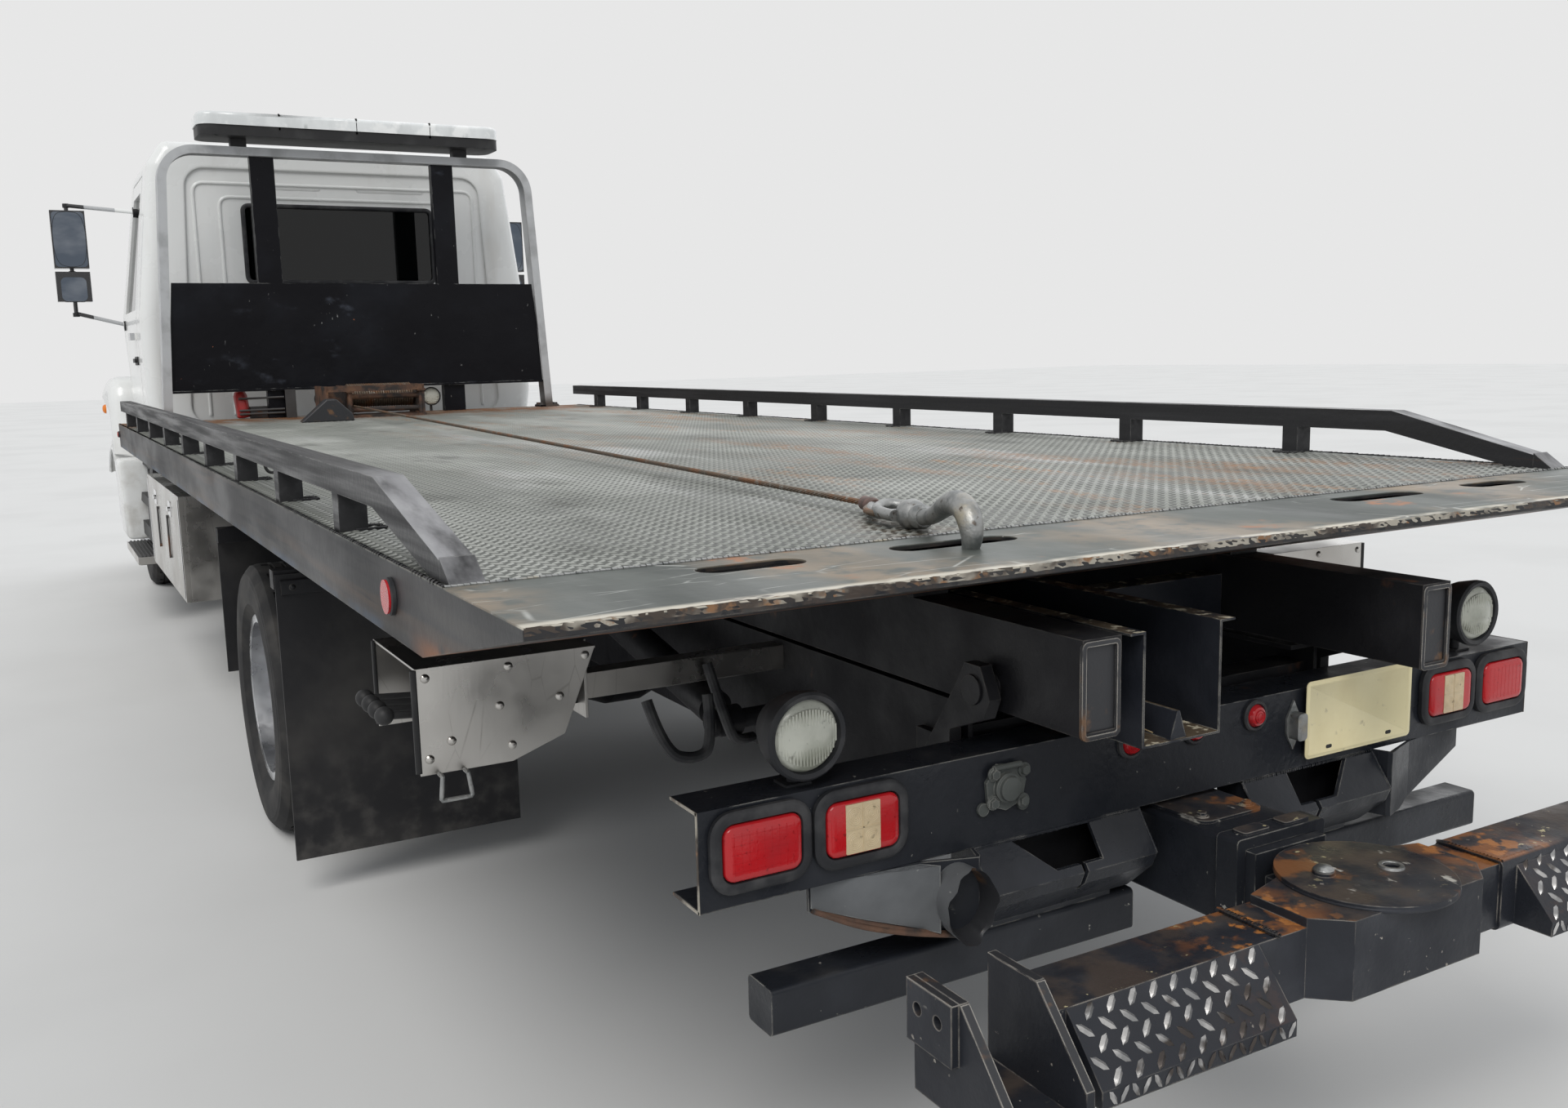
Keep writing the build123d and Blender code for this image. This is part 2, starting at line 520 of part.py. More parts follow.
glass_skin = cab_form(16)
glass_core = cab_form(22)
for side, name in ((-1, "left"), (1, "right")):
    half_space = Pos(side * 1000, 0, 0) * Box(2000, 12000, 6000)
    with BuildPart() as door:
        add(outer_cab)
        add(inner_cab, mode=Mode.SUBTRACT)
        extrude(side_plane(0) * grown(door_outline, 0), amount=1300, both=True, mode=Mode.INTERSECT)
        add(half_space, mode=Mode.INTERSECT)
        extrude(side_plane(0) * grown(door_window, 0), amount=1300, both=True, mode=Mode.SUBTRACT)
        # mirror arms and the two mirror heads
        head_x = side * (CAB_HALF + 265)
        mirror_y = CAB_REAR_Y + 1150
        for x, y, z, top_z in ((CAB_HALF - 110, 860, ROOF_Z - 320, WINDOW_TOP_Z), (CAB_HALF - 30, 1100, 1700, 1780)):
            rod((side * x, CAB_REAR_Y + y, z), (head_x, mirror_y, top_z), 12)
        rod((head_x, mirror_y, 1780), (head_x, mirror_y, WINDOW_TOP_Z), 12)
        block(sorted((head_x - side * 95, head_x + side * 95)), (mirror_y - 60, mirror_y + 30), (2050, WINDOW_TOP_Z - 35))
        block(sorted((head_x - side * 95, head_x + side * 95)), (mirror_y - 60, mirror_y + 30), (1850, 2030))
        # hinge leaves that reach across the front gap
        for z in (1250, 1560):
            y = CAB_REAR_Y + (1012 if z < 1400 else 1126)
            block(sorted((side * (CAB_HALF - 16), side * (CAB_HALF - 4))), (y - 40, y + RUN - 0.2), (z, z + 60))
        # handle
        block(sorted((side * (CAB_HALF - 5), side * (CAB_HALF + 35))), (DOOR_REAR_Y + 60, DOOR_REAR_Y + 200),
              (1600, 1640))
    save(door.part, f"door_{name}")

    with BuildPart() as door_glass:
        add(glass_skin)
        add(glass_core, mode=Mode.SUBTRACT)
        extrude(side_plane(0) * grown(door_window, -SEAT), amount=1300, both=True, mode=Mode.INTERSECT)
        add(half_space, mode=Mode.INTERSECT)
    save(door_glass.part, f"door_glass_{name}")

# Seats, dashboard and steering wheel

floor_z = CAB_FLOOR + CAB_WALL + SEAT
with BuildPart() as cab_interior:
    for x in (-560, 560):
        block((x - 190, x + 190), (CAB_REAR_Y + 300, CAB_REAR_Y + 650), (floor_z, 1220))
        block((x - 250, x + 250), (CAB_REAR_Y + 250, CAB_REAR_Y + 720), (1219, 1360))
        prism([(CAB_REAR_Y + 250, 1359), (CAB_REAR_Y + 370, 1359), (CAB_REAR_Y + 270, 2150),
               (CAB_REAR_Y + 150, 2150)], side_plane(x - 250), 500)
    prism([(CAB_REAR_Y + 880, 1520), (CAB_REAR_Y + 880, 1660), (CAB_REAR_Y + 1150, 1690), (CAB_REAR_Y + 1100, 1560),
           (CAB_REAR_Y + 980, 1200), (CAB_REAR_Y + 980, floor_z), (CAB_REAR_Y + 940, floor_z)],
          side_plane(-CAB_HALF + 120), 2 * (CAB_HALF - 120))
    wheel_hub = (-560, CAB_REAR_Y + 780, 1660)
    rod(wheel_hub, (-560, CAB_REAR_Y + 930, 1590), 25)
    with BuildSketch(Plane(origin=wheel_hub, z_dir=(0, -0.5, 0.866))) as steering_wheel:
        Circle(225)
        Circle(195, mode=Mode.SUBTRACT)
        Rectangle(400, 40)
    extrude(steering_wheel.sketch, amount=25)
save(cab_interior.part, "cab_interior")

# Steps under the doors

with BuildPart() as cab_steps:
    prism([(740, 905), (1120, 905), (1150, 640), (1150, 440), (740, 440)], cross_plane(CAB_REAR_Y + 50), -900)
    for low, high in ((520, 640), (690, 860)):
        block((900, 1200), (CAB_REAR_Y + 250, CAB_REAR_Y + 850), (low, high), mode=Mode.SUBTRACT)
    for y in (150, 750):
        block((RAIL_X + SEAT, 741), (CAB_REAR_Y + y, CAB_REAR_Y + y + 60), (700, 780))
    mirror(about=Plane.YZ)
save(cab_steps.part, "cab_steps")

# Tilting hood with its fenders, grille, headlamps and the bumper

HOOD_GAP = 12
HOOD_WALL = 28
HOOD_ROUND = 50
LAMP_SPAN = ((705, 985), (860, 1010))      # x and z of a headlamp's opening
GRILLE_Z = (860, 1270)


def hood_form(inset):
    """Hood between two fenders, with every face moved in by `inset`."""
    seam = [(CAB_REAR_Y + y + HOOD_GAP, z) for y, z in CAB_FRONT[1:]]
    profile = [
        (seam[0][0], 740), *seam, (seam[-1][0] + 120, seam[-1][1] + 4), (NOSE_Y - 230, 1470), (NOSE_Y - 60, 1330),
        (NOSE_Y - 20, 1100), (NOSE_Y - 45, 720), (FRONT_AXLE_Y, 740),
    ]
    plan = [
        (-1010, CAB_REAR_Y + 900), (-930, FRONT_AXLE_Y), (-640, NOSE_Y), (640, NOSE_Y), (930, FRONT_AXLE_Y),
        (1010, CAB_REAR_Y + 900),
    ]
    fender = [
        (seam[0][0], 740), (seam[0][0], 1090), (FRONT_AXLE_Y - 330, 1180),
        (FRONT_AXLE_Y + 250, 1190), (NOSE_Y - 260, 1150), (NOSE_Y - 80, 1050), (NOSE_Y - 50, 720),
        (FRONT_AXLE_Y, 740),
    ]
    fender_plan = [
        (-1135, CAB_REAR_Y + 900), (-1150, FRONT_AXLE_Y + 250), (-1060, NOSE_Y - 180), (-700, NOSE_Y),
        (700, NOSE_Y), (1060, NOSE_Y - 180), (1150, FRONT_AXLE_Y + 250), (1135, CAB_REAR_Y + 900),
    ]
    forms = []
    for side_points, plan_points in ((profile, plan), (fender, fender_plan)):
        with BuildPart() as form:
            extrude(side_plane(0) * grown(side_points, -inset, HOOD_ROUND), amount=1300, both=True)
            extrude(Plane.XY.offset(500) * grown(plan_points, -inset, HOOD_ROUND), amount=1500, mode=Mode.INTERSECT)
        forms.append(form.part)
    return forms


with BuildPart() as hood:
    for form in hood_form(0):
        add(form)
    for form in hood_form(HOOD_WALL):
        for shift in ((0, 0, 0), (0, 0, -120), (0, -160, 0), (0, -160, -120)):
            add(Pos(*shift) * form, mode=Mode.SUBTRACT)
    with BuildSketch(side_plane(0)):
        with Locations((FRONT_AXLE_Y, TYRE_R)):
            Circle(495)
    extrude(amount=1300, both=True, mode=Mode.SUBTRACT)
    # opening behind the grille
    block((-430, 430), (NOSE_Y - 140, NOSE_Y + 20), GRILLE_Z, mode=Mode.SUBTRACT)
    for side in (-1, 1):
        block(sorted(side * x for x in LAMP_SPAN[0]), (NOSE_Y - 320, NOSE_Y + 20), LAMP_SPAN[1], mode=Mode.SUBTRACT)
    # arms to the hinge above the bumper
    for side in (-1, 1):
        block(sorted((side * (HINGE_X - 24), side * (HINGE_X - 4))), (HOOD_HINGE[0] - 22, HOOD_HINGE[0] + 22),
              (HOOD_HINGE[1] - 20, 735))
        rod((side * (HINGE_X - 6), *HOOD_HINGE), (side * (HINGE_X + 20), *HOOD_HINGE), HINGE_PIN_R)
save(hood.part, "hood")

# Headlamp lenses, cut from the fender's own form so that they follow it

with BuildPart() as headlamps:
    add(hood_form(4)[1])
    add(hood_form(20)[1], mode=Mode.SUBTRACT)
    block((LAMP_SPAN[0][0] + SEAT, LAMP_SPAN[0][1] - SEAT), (NOSE_Y - 300, NOSE_Y + 20),
          (LAMP_SPAN[1][0] + SEAT, LAMP_SPAN[1][1] - SEAT), mode=Mode.INTERSECT)
    mirror(about=Plane.YZ)
save(headlamps.part, "headlamps")

with BuildPart() as grille:
    block((-430 + SEAT, 430 - SEAT), (NOSE_Y - 70, NOSE_Y - 62), (GRILLE_Z[0] + SEAT, GRILLE_Z[1] - SEAT))
    block((-330, 330), (NOSE_Y - 69, NOSE_Y - 60), (900, 1230), mode=Mode.SUBTRACT)
    for i in range(8):
        block((-331, 331), (NOSE_Y - 72, NOSE_Y - 50), (912 + i * 40, 928 + i * 40))
save(grille.part, "grille")

# hinge brackets of the hood, then the bumper on the rail ends
BUMPER_Z = (380, 622)
with BuildPart() as front_bumper:
    prism([(-1170, NOSE_Y - 330), (-1170, NOSE_Y - 170), (-900, NOSE_Y - 20), (-640, NOSE_Y), (640, NOSE_Y),
           (900, NOSE_Y - 20), (1170, NOSE_Y - 170), (1170, NOSE_Y - 330), (1150, NOSE_Y - 330),
           (1150, NOSE_Y - 180), (890, NOSE_Y - 40), (630, NOSE_Y - 20), (-630, NOSE_Y - 20),
           (-890, NOSE_Y - 40), (-1150, NOSE_Y - 180), (-1150, NOSE_Y - 330)],
          Plane.XY.offset(BUMPER_Z[0]), BUMPER_Z[1] - BUMPER_Z[0])
    for x in (-RAIL_X + 38, RAIL_X - 38):
        block((x - 20, x + 36), (RAIL_FRONT_Y + SEAT, NOSE_Y - 170), (RAIL_BOTTOM + 4, RAIL_TOP - 60))
        block((x - 20, x + 36), (NOSE_Y - 171, NOSE_Y - 19), (RAIL_BOTTOM - 90, RAIL_BOTTOM + 4))
        block((x - 20, x + 36), (NOSE_Y - 188, NOSE_Y - 170), (RAIL_BOTTOM - 90, RAIL_BOTTOM + 5))
save(front_bumper.part, "front_bumper")

# Toolboxes beside the frame, with drop-down doors

BOX_X = (722, 1196)
BOX_Y = (CAB_REAR_Y - 2250, CAB_REAR_Y - 800)
BOX_Z = (460, 910)
BOX_T = 6
DOOR_T = 22
with BuildPart() as toolboxes:
    block((BOX_X[0] + SEAT, BOX_X[1]), BOX_Y, BOX_Z)
    block((BOX_X[0] + BOX_T, BOX_X[1] + 5), (BOX_Y[0] + BOX_T, BOX_Y[1] - BOX_T), (BOX_Z[0] + BOX_T, BOX_Z[1] - BOX_T),
          mode=Mode.SUBTRACT)
    mirror(about=Plane.YZ)
save(toolboxes.part, "toolboxes")

for side, name in ((-1, "left"), (1, "right")):
    with BuildPart() as toolbox_door:
        block(sorted((side * (BOX_X[1] + SEAT), side * (BOX_X[1] + SEAT + DOOR_T))), BOX_Y, BOX_Z)
    save(toolbox_door.part, f"toolbox_door_{name}")

# Control stations behind the rear wheels

STATION_Y = BAR_Y + 600
with BuildPart() as control_stations:
    plate = [(895, 930), (1225, 930), (1225, 740), (1060, 740), (960, 775)]
    prism(plate, cross_plane(STATION_Y), -4)
    prism([(1000, 930), (1225, 930), (1225, 760), (1000, 760)], cross_plane(STATION_Y + 300), -4)
    block((895, 1225), (STATION_Y, STATION_Y + 304), (926, 930))
    block((RAIL_X + SEAT, 896), (STATION_Y + 120, STATION_Y + 170), (800, 850))
    block((890, 896), (STATION_Y + 60, STATION_Y + 240), (780, 930))
    mirror(about=Plane.YZ)
save(control_stations.part, "control_stations")

with BuildPart() as control_levers:
    block((1020, 1150), (STATION_Y + 60, STATION_Y + 260), (790, 860))
    for i in range(4):
        y = STATION_Y + 85 + i * 50
        rod((1149, y, 825), (1265, y, 835), 7)
        with Locations((1262, y, 835)):
            Sphere(17)
    block((896 + SEAT, 1021), (STATION_Y + 100, STATION_Y + 200), (800, 840))
    mirror(about=Plane.YZ)
save(control_levers.part, "control_levers")

# Rear light bar, its lamps, the work lamps, the underride bar and chain pockets

LAMP_Z = 736
LAMPS = ((885, 120, 80), (710, 120, 80))       # x, width and height of each square lamp
ID_LAMPS = (-153, 0, 153)
with BuildPart() as light_bar:
    block((-BAR_W / 2, BAR_W / 2), (BAR_Y, BAR_Y + BAR_DEPTH), (BAR_BOTTOM, BAR_BOTTOM + BAR_H))
    block((-BAR_W / 2 - 5, BAR_W / 2 + 5), (BAR_Y + BAR_T, BAR_Y + BAR_DEPTH + 5),
          (BAR_BOTTOM + BAR_T, BAR_BOTTOM + BAR_H - BAR_T), mode=Mode.SUBTRACT)
    for x, width, height in LAMPS:
        for side in (-1, 1):
            block((side * x - width / 2, side * x + width / 2), (BAR_Y - 5, BAR_Y + 20),
                  (LAMP_Z - height / 2, LAMP_Z + height / 2), mode=Mode.SUBTRACT)
    for x in ID_LAMPS:
        rod((x, BAR_Y - 5, 772), (x, BAR_Y + 20, 772), 20, mode=Mode.SUBTRACT)
save(light_bar.part, "light_bar")

with BuildPart() as tail_lamps:
    for x, width, height in LAMPS:
        for side in (-1, 1):
            block((side * x - width / 2 + SEAT, side * x + width / 2 - SEAT), (BAR_Y - LAMP_PROUD, BAR_Y + 40),
                  (LAMP_Z - height / 2 + SEAT, LAMP_Z + height / 2 - SEAT))
    for x in ID_LAMPS:
        rod((x, BAR_Y - LAMP_PROUD, 772), (x, BAR_Y + 25, 772), 20 - SEAT)
save(tail_lamps.part, "tail_lamps")

WORK_LAMP = (800, BAR_Y + 45, 888)
with BuildPart() as work_lamps:
    rod((WORK_LAMP[0], WORK_LAMP[1] - 45, WORK_LAMP[2]), (WORK_LAMP[0], WORK_LAMP[1] + 20, WORK_LAMP[2]), 68)
    rod((WORK_LAMP[0], WORK_LAMP[1] + 19, WORK_LAMP[2]), (WORK_LAMP[0], WORK_LAMP[1] + 55, WORK_LAMP[2]), 40)
    rod((WORK_LAMP[0], WORK_LAMP[1], BAR_BOTTOM + BAR_H + SEAT), (WORK_LAMP[0], WORK_LAMP[1], WORK_LAMP[2]), 10)
    mirror(about=Plane.YZ)
save(work_lamps.part, "work_lamps")

# each pocket's side outline: under the light bar, a face that leans out to the rear, then back under
POCKET_X = (130, 490)
POCKET_T = 8
pocket_side = [(BAR_Y + 62, BAR_BOTTOM - SEAT), (BAR_Y + 2, BAR_BOTTOM - SEAT), (BAR_Y - 46, 580), (BAR_Y - 36, 556),
               (BAR_Y + 24, 500), (BAR_Y + 62, 500)]
pocket_inside = [(BAR_Y + 70, BAR_BOTTOM), (BAR_Y + 11, BAR_BOTTOM), (BAR_Y - 37, 580), (BAR_Y - 29, 562),
                 (BAR_Y + 28, 508), (BAR_Y + 70, 508)]
with BuildPart() as underride_bar:
    block((BOOM_W / 2 + 25, 860), (BAR_Y + 20, BAR_Y + 96), UNDERRIDE_Z)
    fillet(underride_bar.edges().filter_by(Axis.X), radius=9)
    block((POCKET_X[0] + 40, POCKET_X[1] - 40), (BAR_Y + 26, BAR_Y + 61), (UNDERRIDE_Z[1] - 1, 502))
    prism(pocket_side, side_plane(POCKET_X[0]), POCKET_X[1] - POCKET_X[0])
    prism(pocket_inside, side_plane(POCKET_X[0] + POCKET_T), POCKET_X[1] - POCKET_X[0] - 2 * POCKET_T,
          mode=Mode.SUBTRACT)
    prism([(245, BAR_BOTTOM + 5), (425, BAR_BOTTOM + 5), (345, 592), (245, 592)], cross_plane(BAR_Y + 15), 80,
          mode=Mode.SUBTRACT)
    block((284, 294), (BAR_Y - 60, BAR_Y + 15), (545, 600), mode=Mode.SUBTRACT)
    # bent wing plate beside the pocket
    prism([(500, BAR_Y - 30), (506, BAR_Y - 36), (600, BAR_Y - 4), (790, BAR_Y + 22), (790, BAR_Y + 28),
           (600, BAR_Y + 2), (508, BAR_Y - 28), (489, BAR_Y + 20), (484, BAR_Y + 18)], Plane.XY.offset(520), 129.7)
    prism([(480, 500), (560, 520), (800, 605), (800, 500)], cross_plane(BAR_Y + 60), 120, mode=Mode.SUBTRACT)
    mirror(about=Plane.YZ)
save(underride_bar.part, "underride_bar")

# Mud flaps behind and ahead of the rear wheels

with BuildPart() as mud_flaps:
    for y, bottom, inner_x in ((FLAP_ARM_Y[0], 110, 590), (FLAP_ARM_Y[1], 410, 620)):
        side = 1 if y < REAR_AXLE_Y else -1
        near = y - side * (OUTRIGGER / 2 + SEAT)
        block((inner_x, 1222), sorted((near, near - side * 8)), (bottom, 900))
    mirror(about=Plane.YZ)
save(mud_flaps.part, "mud_flaps")

# Tilting subframe: two tubes with the hinge pins and the arms over the tilt cylinders

SUBFRAME_FRONT_Y = CAB_REAR_Y - 500
with BuildPart() as subframe:
    for side in (-1, 1):
        inner, outer = RAIL_X - TUBE_W, RAIL_X
        block(sorted((side * inner, side * outer)), (TUBE_END_Y, SUBFRAME_FRONT_Y), (TUBE_BOTTOM, TUBE_TOP))
        block(sorted((side * (inner + TUBE_T), side * (outer - TUBE_T))), (TUBE_END_Y - 5, SUBFRAME_FRONT_Y + 5),
              (TUBE_BOTTOM + TUBE_T, TUBE_TOP - TUBE_T), mode=Mode.SUBTRACT)
        rod((side * (RAIL_X - 4), TILT_Y, TILT_Z), (side * (LUG_X[1] + 4), TILT_Y, TILT_Z), TILT_PIN_R)
        x = side * TILT_CYL_X
        block(sorted((side * (RAIL_X - 2), x + side * 45)), (TILT_EYE[0] - 40, TILT_EYE[0] + 40),
              (TILT_EYE[1] + 50, TUBE_TOP - 5))
        for plate_x in (x - 42, x + 30):
            block((plate_x, plate_x + 12), (TILT_EYE[0] - 40, TILT_EYE[0] + 40), (TILT_EYE[1] - 30, TILT_EYE[1] + 51))
save(subframe.part, "subframe")

# Hose trough between the tubes: thin walls with flanges, a rib in the floor, and short crossmembers

TROUGH_X = (-310, -142)
TROUGH_Z = (832, 1018)
TROUGH_T = 4
with BuildPart() as hose_trough:
    block((TROUGH_X[0] - 27, TROUGH_X[1] + 29), (TUBE_END_Y, CAB_REAR_Y - 700), (TROUGH_Z[1] - TROUGH_T, TROUGH_Z[1]))
    block(TROUGH_X, (TUBE_END_Y, CAB_REAR_Y - 700), TROUGH_Z)
    block((TROUGH_X[0] + TROUGH_T, TROUGH_X[1] - TROUGH_T), (TUBE_END_Y - 5, CAB_REAR_Y - 695),
          (TROUGH_Z[0] + TROUGH_T, TROUGH_Z[1] + 5), mode=Mode.SUBTRACT)
    prism([(-247, TROUGH_Z[0] + 3), (-232, 881), (-227, 881), (-212, TROUGH_Z[0] + 3)], cross_plane(TUBE_END_Y + 4), -400)
    for y in (BAR_Y + 300, BAR_Y + 1600, BAR_Y + 3000, CAB_REAR_Y - 2200, CAB_REAR_Y - 1000):
        block((-RAIL_X + TUBE_W + SEAT, TROUGH_X[0] + 1), (y - 30, y + 30), (880, 980))
        block((TROUGH_X[1] - 1, RAIL_X - TUBE_W - SEAT), (y - 30, y + 30), (880, 980))
save(hose_trough.part, "hose_trough")

# Deck

half_deck = DECK_W / 2
with BuildPart() as deck:
    block((-half_deck, half_deck), (TAIL_BREAK_Y - 60, DECK_FRONT_Y), (DECK_TOP - DECK_PLATE, DECK_TOP))
    # tail wedge: top plate over a sloping under plate, closed at the sides
    tail = [(DECK_TAIL_Y, DECK_TOP), (DECK_TAIL_Y, DECK_TOP - 16), (TAIL_BREAK_Y, DECK_TOP - CHANNEL_H),
            (TAIL_BREAK_Y, DECK_TOP)]
    prism(tail, side_plane(-half_deck), DECK_W)
    hollow = [(DECK_TAIL_Y + 60, DECK_TOP - DECK_PLATE), (DECK_TAIL_Y + 60, DECK_TOP - DECK_PLATE - 14),
              (TAIL_BREAK_Y + 5, DECK_TOP - CHANNEL_H + 10), (TAIL_BREAK_Y + 5, DECK_TOP - DECK_PLATE)]
    prism(hollow, side_plane(-half_deck + CHANNEL_T), DECK_W - 2 * CHANNEL_T, mode=Mode.SUBTRACT)
    for side in (-1, 1):
        outer = side * half_deck
        block(sorted((outer, outer - side * CHANNEL_T)), (TAIL_BREAK_Y - 1, DECK_FRONT_Y),
              (DECK_TOP - CHANNEL_H, DECK_TOP))
        block(sorted((outer, outer - side * CHANNEL_W)), (TAIL_BREAK_Y - 1, DECK_FRONT_Y),
              (DECK_TOP - CHANNEL_H, DECK_TOP - CHANNEL_H + CHANNEL_T))
    block((-half_deck, half_deck), (DECK_FRONT_Y - 8, DECK_FRONT_Y), (DECK_TOP - CHANNEL_H, DECK_TOP))
    for x, length in ((508, 236), (872, 176)):
        for side in (-1, 1):
            with BuildSketch(Plane.XY.offset(DECK_TOP - DECK_PLATE - 1)) as slot:
                with Locations((side * x, BAR_Y + 25)):
                    SlotOverall(length, 62)
            extrude(slot.sketch, amount=DECK_PLATE + 3, mode=Mode.SUBTRACT)
save(deck.part, "deck")

# Long sills on the subframe, and the crossmembers that carry the deck's plate

with BuildPart() as deck_sills:
    for side in (-1, 1):
        block(sorted((side * (RAIL_X - TUBE_W), side * RAIL_X)), (TAIL_BREAK_Y + SEAT, DECK_FRONT_Y - 8 - SEAT),
              (SILL_BOTTOM, DECK_TOP - CROSS_H))
    cross_half = half_deck - CHANNEL_T - SEAT
    for i in range(POST_COUNT + 1):
        y = POST_FIRST_Y + (i - 0.5) * POST_PITCH
        block((-cross_half, cross_half), (y - 30, y + 30), (DECK_TOP - CROSS_H - 1, DECK_TOP - DECK_PLATE - SEAT))
save(deck_sills.part, "deck_sills")

# Side guards: square tube on stub posts, bent down to the deck at the tail

with BuildPart() as side_guards:
    guard_x = half_deck - 10 - RAIL_TUBE
    low = DECK_TOP + SEAT
    top = GUARD_TOP
    bar_line = [
        (GUARD_FRONT_Y, top), (GUARD_BEND_Y, top), (GUARD_END_Y, low + 30), (GUARD_END_Y, low),
        (GUARD_END_Y + 55, low), (GUARD_BEND_Y + 15, top - RAIL_TUBE), (GUARD_FRONT_Y, top - RAIL_TUBE),
    ]
    prism(bar_line, side_plane(guard_x), RAIL_TUBE)
    for i in range(POST_COUNT):
        y = POST_FIRST_Y + i * POST_PITCH
        block((guard_x, guard_x + RAIL_TUBE), (y - 25, y + 25), (low, top - RAIL_TUBE + 1))
    mirror(about=Plane.YZ)
save(side_guards.part, "side_guards")

# Headboard between two posts, with a channel hoop up to the beacon bar

BOARD_Y = DECK_FRONT_Y - 140
HOOP_DEPTH = 96
HOOP_WIDE = 44
hoop_y = BOARD_Y + 32
with BuildPart() as headboard:
    prism([(-1045, 1305), (1045, 1305), (992, 1882), (-992, 1882)], cross_plane(BOARD_Y + 6), 6)
    block((-1045, 1045), (BOARD_Y - 14, BOARD_Y + 6), (1300, 1312))
    for x in (-490, 490):
        block((x - 62, x + 62), (BOARD_Y + 5, BOARD_Y + 55), (DECK_TOP + SEAT, 2588))
    with BuildLine() as hoop:
        FilletPolyline((-1064, hoop_y, DECK_TOP + 5), (-985, hoop_y, 2575), (985, hoop_y, 2575),
                       (1064, hoop_y, DECK_TOP + 5), radius=170)
    with BuildSketch(Plane(origin=hoop.line @ 0, x_dir=(0, 1, 0), z_dir=hoop.line % 0)) as hoop_section:
        Rectangle(HOOP_DEPTH, HOOP_WIDE)
        # the channel's open side, towards the middle
        with Locations((0, -11)):
            Rectangle(HOOP_DEPTH - 20, 38, mode=Mode.SUBTRACT)
    sweep(hoop_section.sketch, path=hoop.line)
    for x in (-1064, 1064):
        block((x - 60, x + 60), (hoop_y - 50, hoop_y + 50), (DECK_TOP + SEAT, DECK_TOP + 12))
save(headboard.part, "headboard")

with BuildPart() as beacon_bar:
    block((-815, 815), (hoop_y - 150, hoop_y + 150), (2640, 2765))
    fillet(beacon_bar.edges().filter_by(Axis.Z), radius=80)
    fillet(beacon_bar.faces().sort_by(Axis.Z)[-1].edges(), radius=35)
    for x in (-600, 600):
        block((x - 40, x + 40), (hoop_y - 30, hoop_y + 30), (2575 + HOOP_WIDE / 2 + SEAT, 2641))
save(beacon_bar.part, "beacon_bar")

# Winch with its rope and hook

WINCH_Y = (DECK_FRONT_Y - 590, DECK_FRONT_Y - 290)
DRUM_Y = WINCH_Y[1] - 120
DRUM_Z = DECK_TOP + 115
WINCH_DRUM_R = 45
ROPE_R = 6
deck_low = DECK_TOP + SEAT
with BuildPart() as winch:
    block((-330, 190), WINCH_Y, (deck_low, deck_low + 12))
    for x in (-330, -216, 180):
        block((x, x + 12), WINCH_Y, (deck_low, DECK_TOP + 171))
    rod((-320, DRUM_Y, DRUM_Z), (190, DRUM_Y, DRUM_Z), WINCH_DRUM_R)
    block((-325, -216), (DRUM_Y - 80, DRUM_Y + 80), (DECK_TOP + 13, DECK_TOP + 161))
    # fairlead with its rollers
    block((-320, 180), (WINCH_Y[0] - 10, WINCH_Y[0] + 12), (DECK_TOP + 141, DECK_TOP + 171))
    for z in (DECK_TOP + 42, DECK_TOP + 112):
        rod((-210, WINCH_Y[0] + 30, z), (181, WINCH_Y[0] + 30, z), 14)
save(winch.part, "winch")

ROPE_START = (-178, DRUM_Y, DRUM_Z - WINCH_DRUM_R - ROPE_R - SEAT)
ROPE_END = (-402, BAR_Y + 430, 1168)
with BuildPart() as winch_line:
    rod(ROPE_START, ROPE_END, ROPE_R)
    rod(ROPE_END, (-425, BAR_Y + 330, 1168), 14)
    block((-455, -425), (BAR_Y + 90, BAR_Y + 340), (deck_low, 1185))
save(winch_line.part, "winch_line")

# Tilt cylinders beside the rails


def cylinder_pair(base, eye, x, barrel_r, rod_r, eye_r, pin_r, share, width):
    """Barrel and rod between a base pin and an eye, both in the plane at x."""
    start = Vector(x, *base)
    end = Vector(x, *eye)
    along = (end - start).normalized()
    length = (end - start).length
    with BuildPart() as barrel:
        rod(tuple(start + along * (eye_r - 8)), tuple(start + along * (eye_r + 31)), width / 2 - 3)
        rod(tuple(start + along * (eye_r + 30)), tuple(start + along * length * share), barrel_r)
        rod((x - width / 2, *base), (x + width / 2, *base), eye_r)
        rod((x - width, *base), (x + width, *base), pin_r + FIT, mode=Mode.SUBTRACT)
        rod(tuple(start + along * length * 0.3), tuple(start + along * (length * share + 5)), rod_r + FIT,
            mode=Mode.SUBTRACT)
    with BuildPart() as plunger:
        rod(tuple(start + along * length * 0.42), tuple(end), rod_r)
        rod((x - width / 2, *eye), (x + width / 2, *eye), eye_r)
    return barrel.part, plunger.part


barrels, rods = [], []
for side in (-1, 1):
    barrel_part, rod_part = cylinder_pair(TILT_BASE, TILT_EYE, side * TILT_CYL_X, 38, 20, 32, 20, 0.72, 44)
    barrels.append(barrel_part)
    rods.append(rod_part)
for name, pair in (("tilt_cylinder_barrels", barrels), ("tilt_cylinder_rods", rods)):
    with BuildPart() as cylinders:
        for piece in pair:
            add(piece)
    save(cylinders.part, name)

lift_barrel, lift_rod = cylinder_pair(LIFT_BASE, LIFT_EYE, 0, 38, 20, 28, 15, 0.62, 40)
save(lift_barrel, "lift_cylinder_barrel")
save(lift_rod, "lift_cylinder_rod")

# Wheel lift: boom, sliding stinger and swivelling crossbar

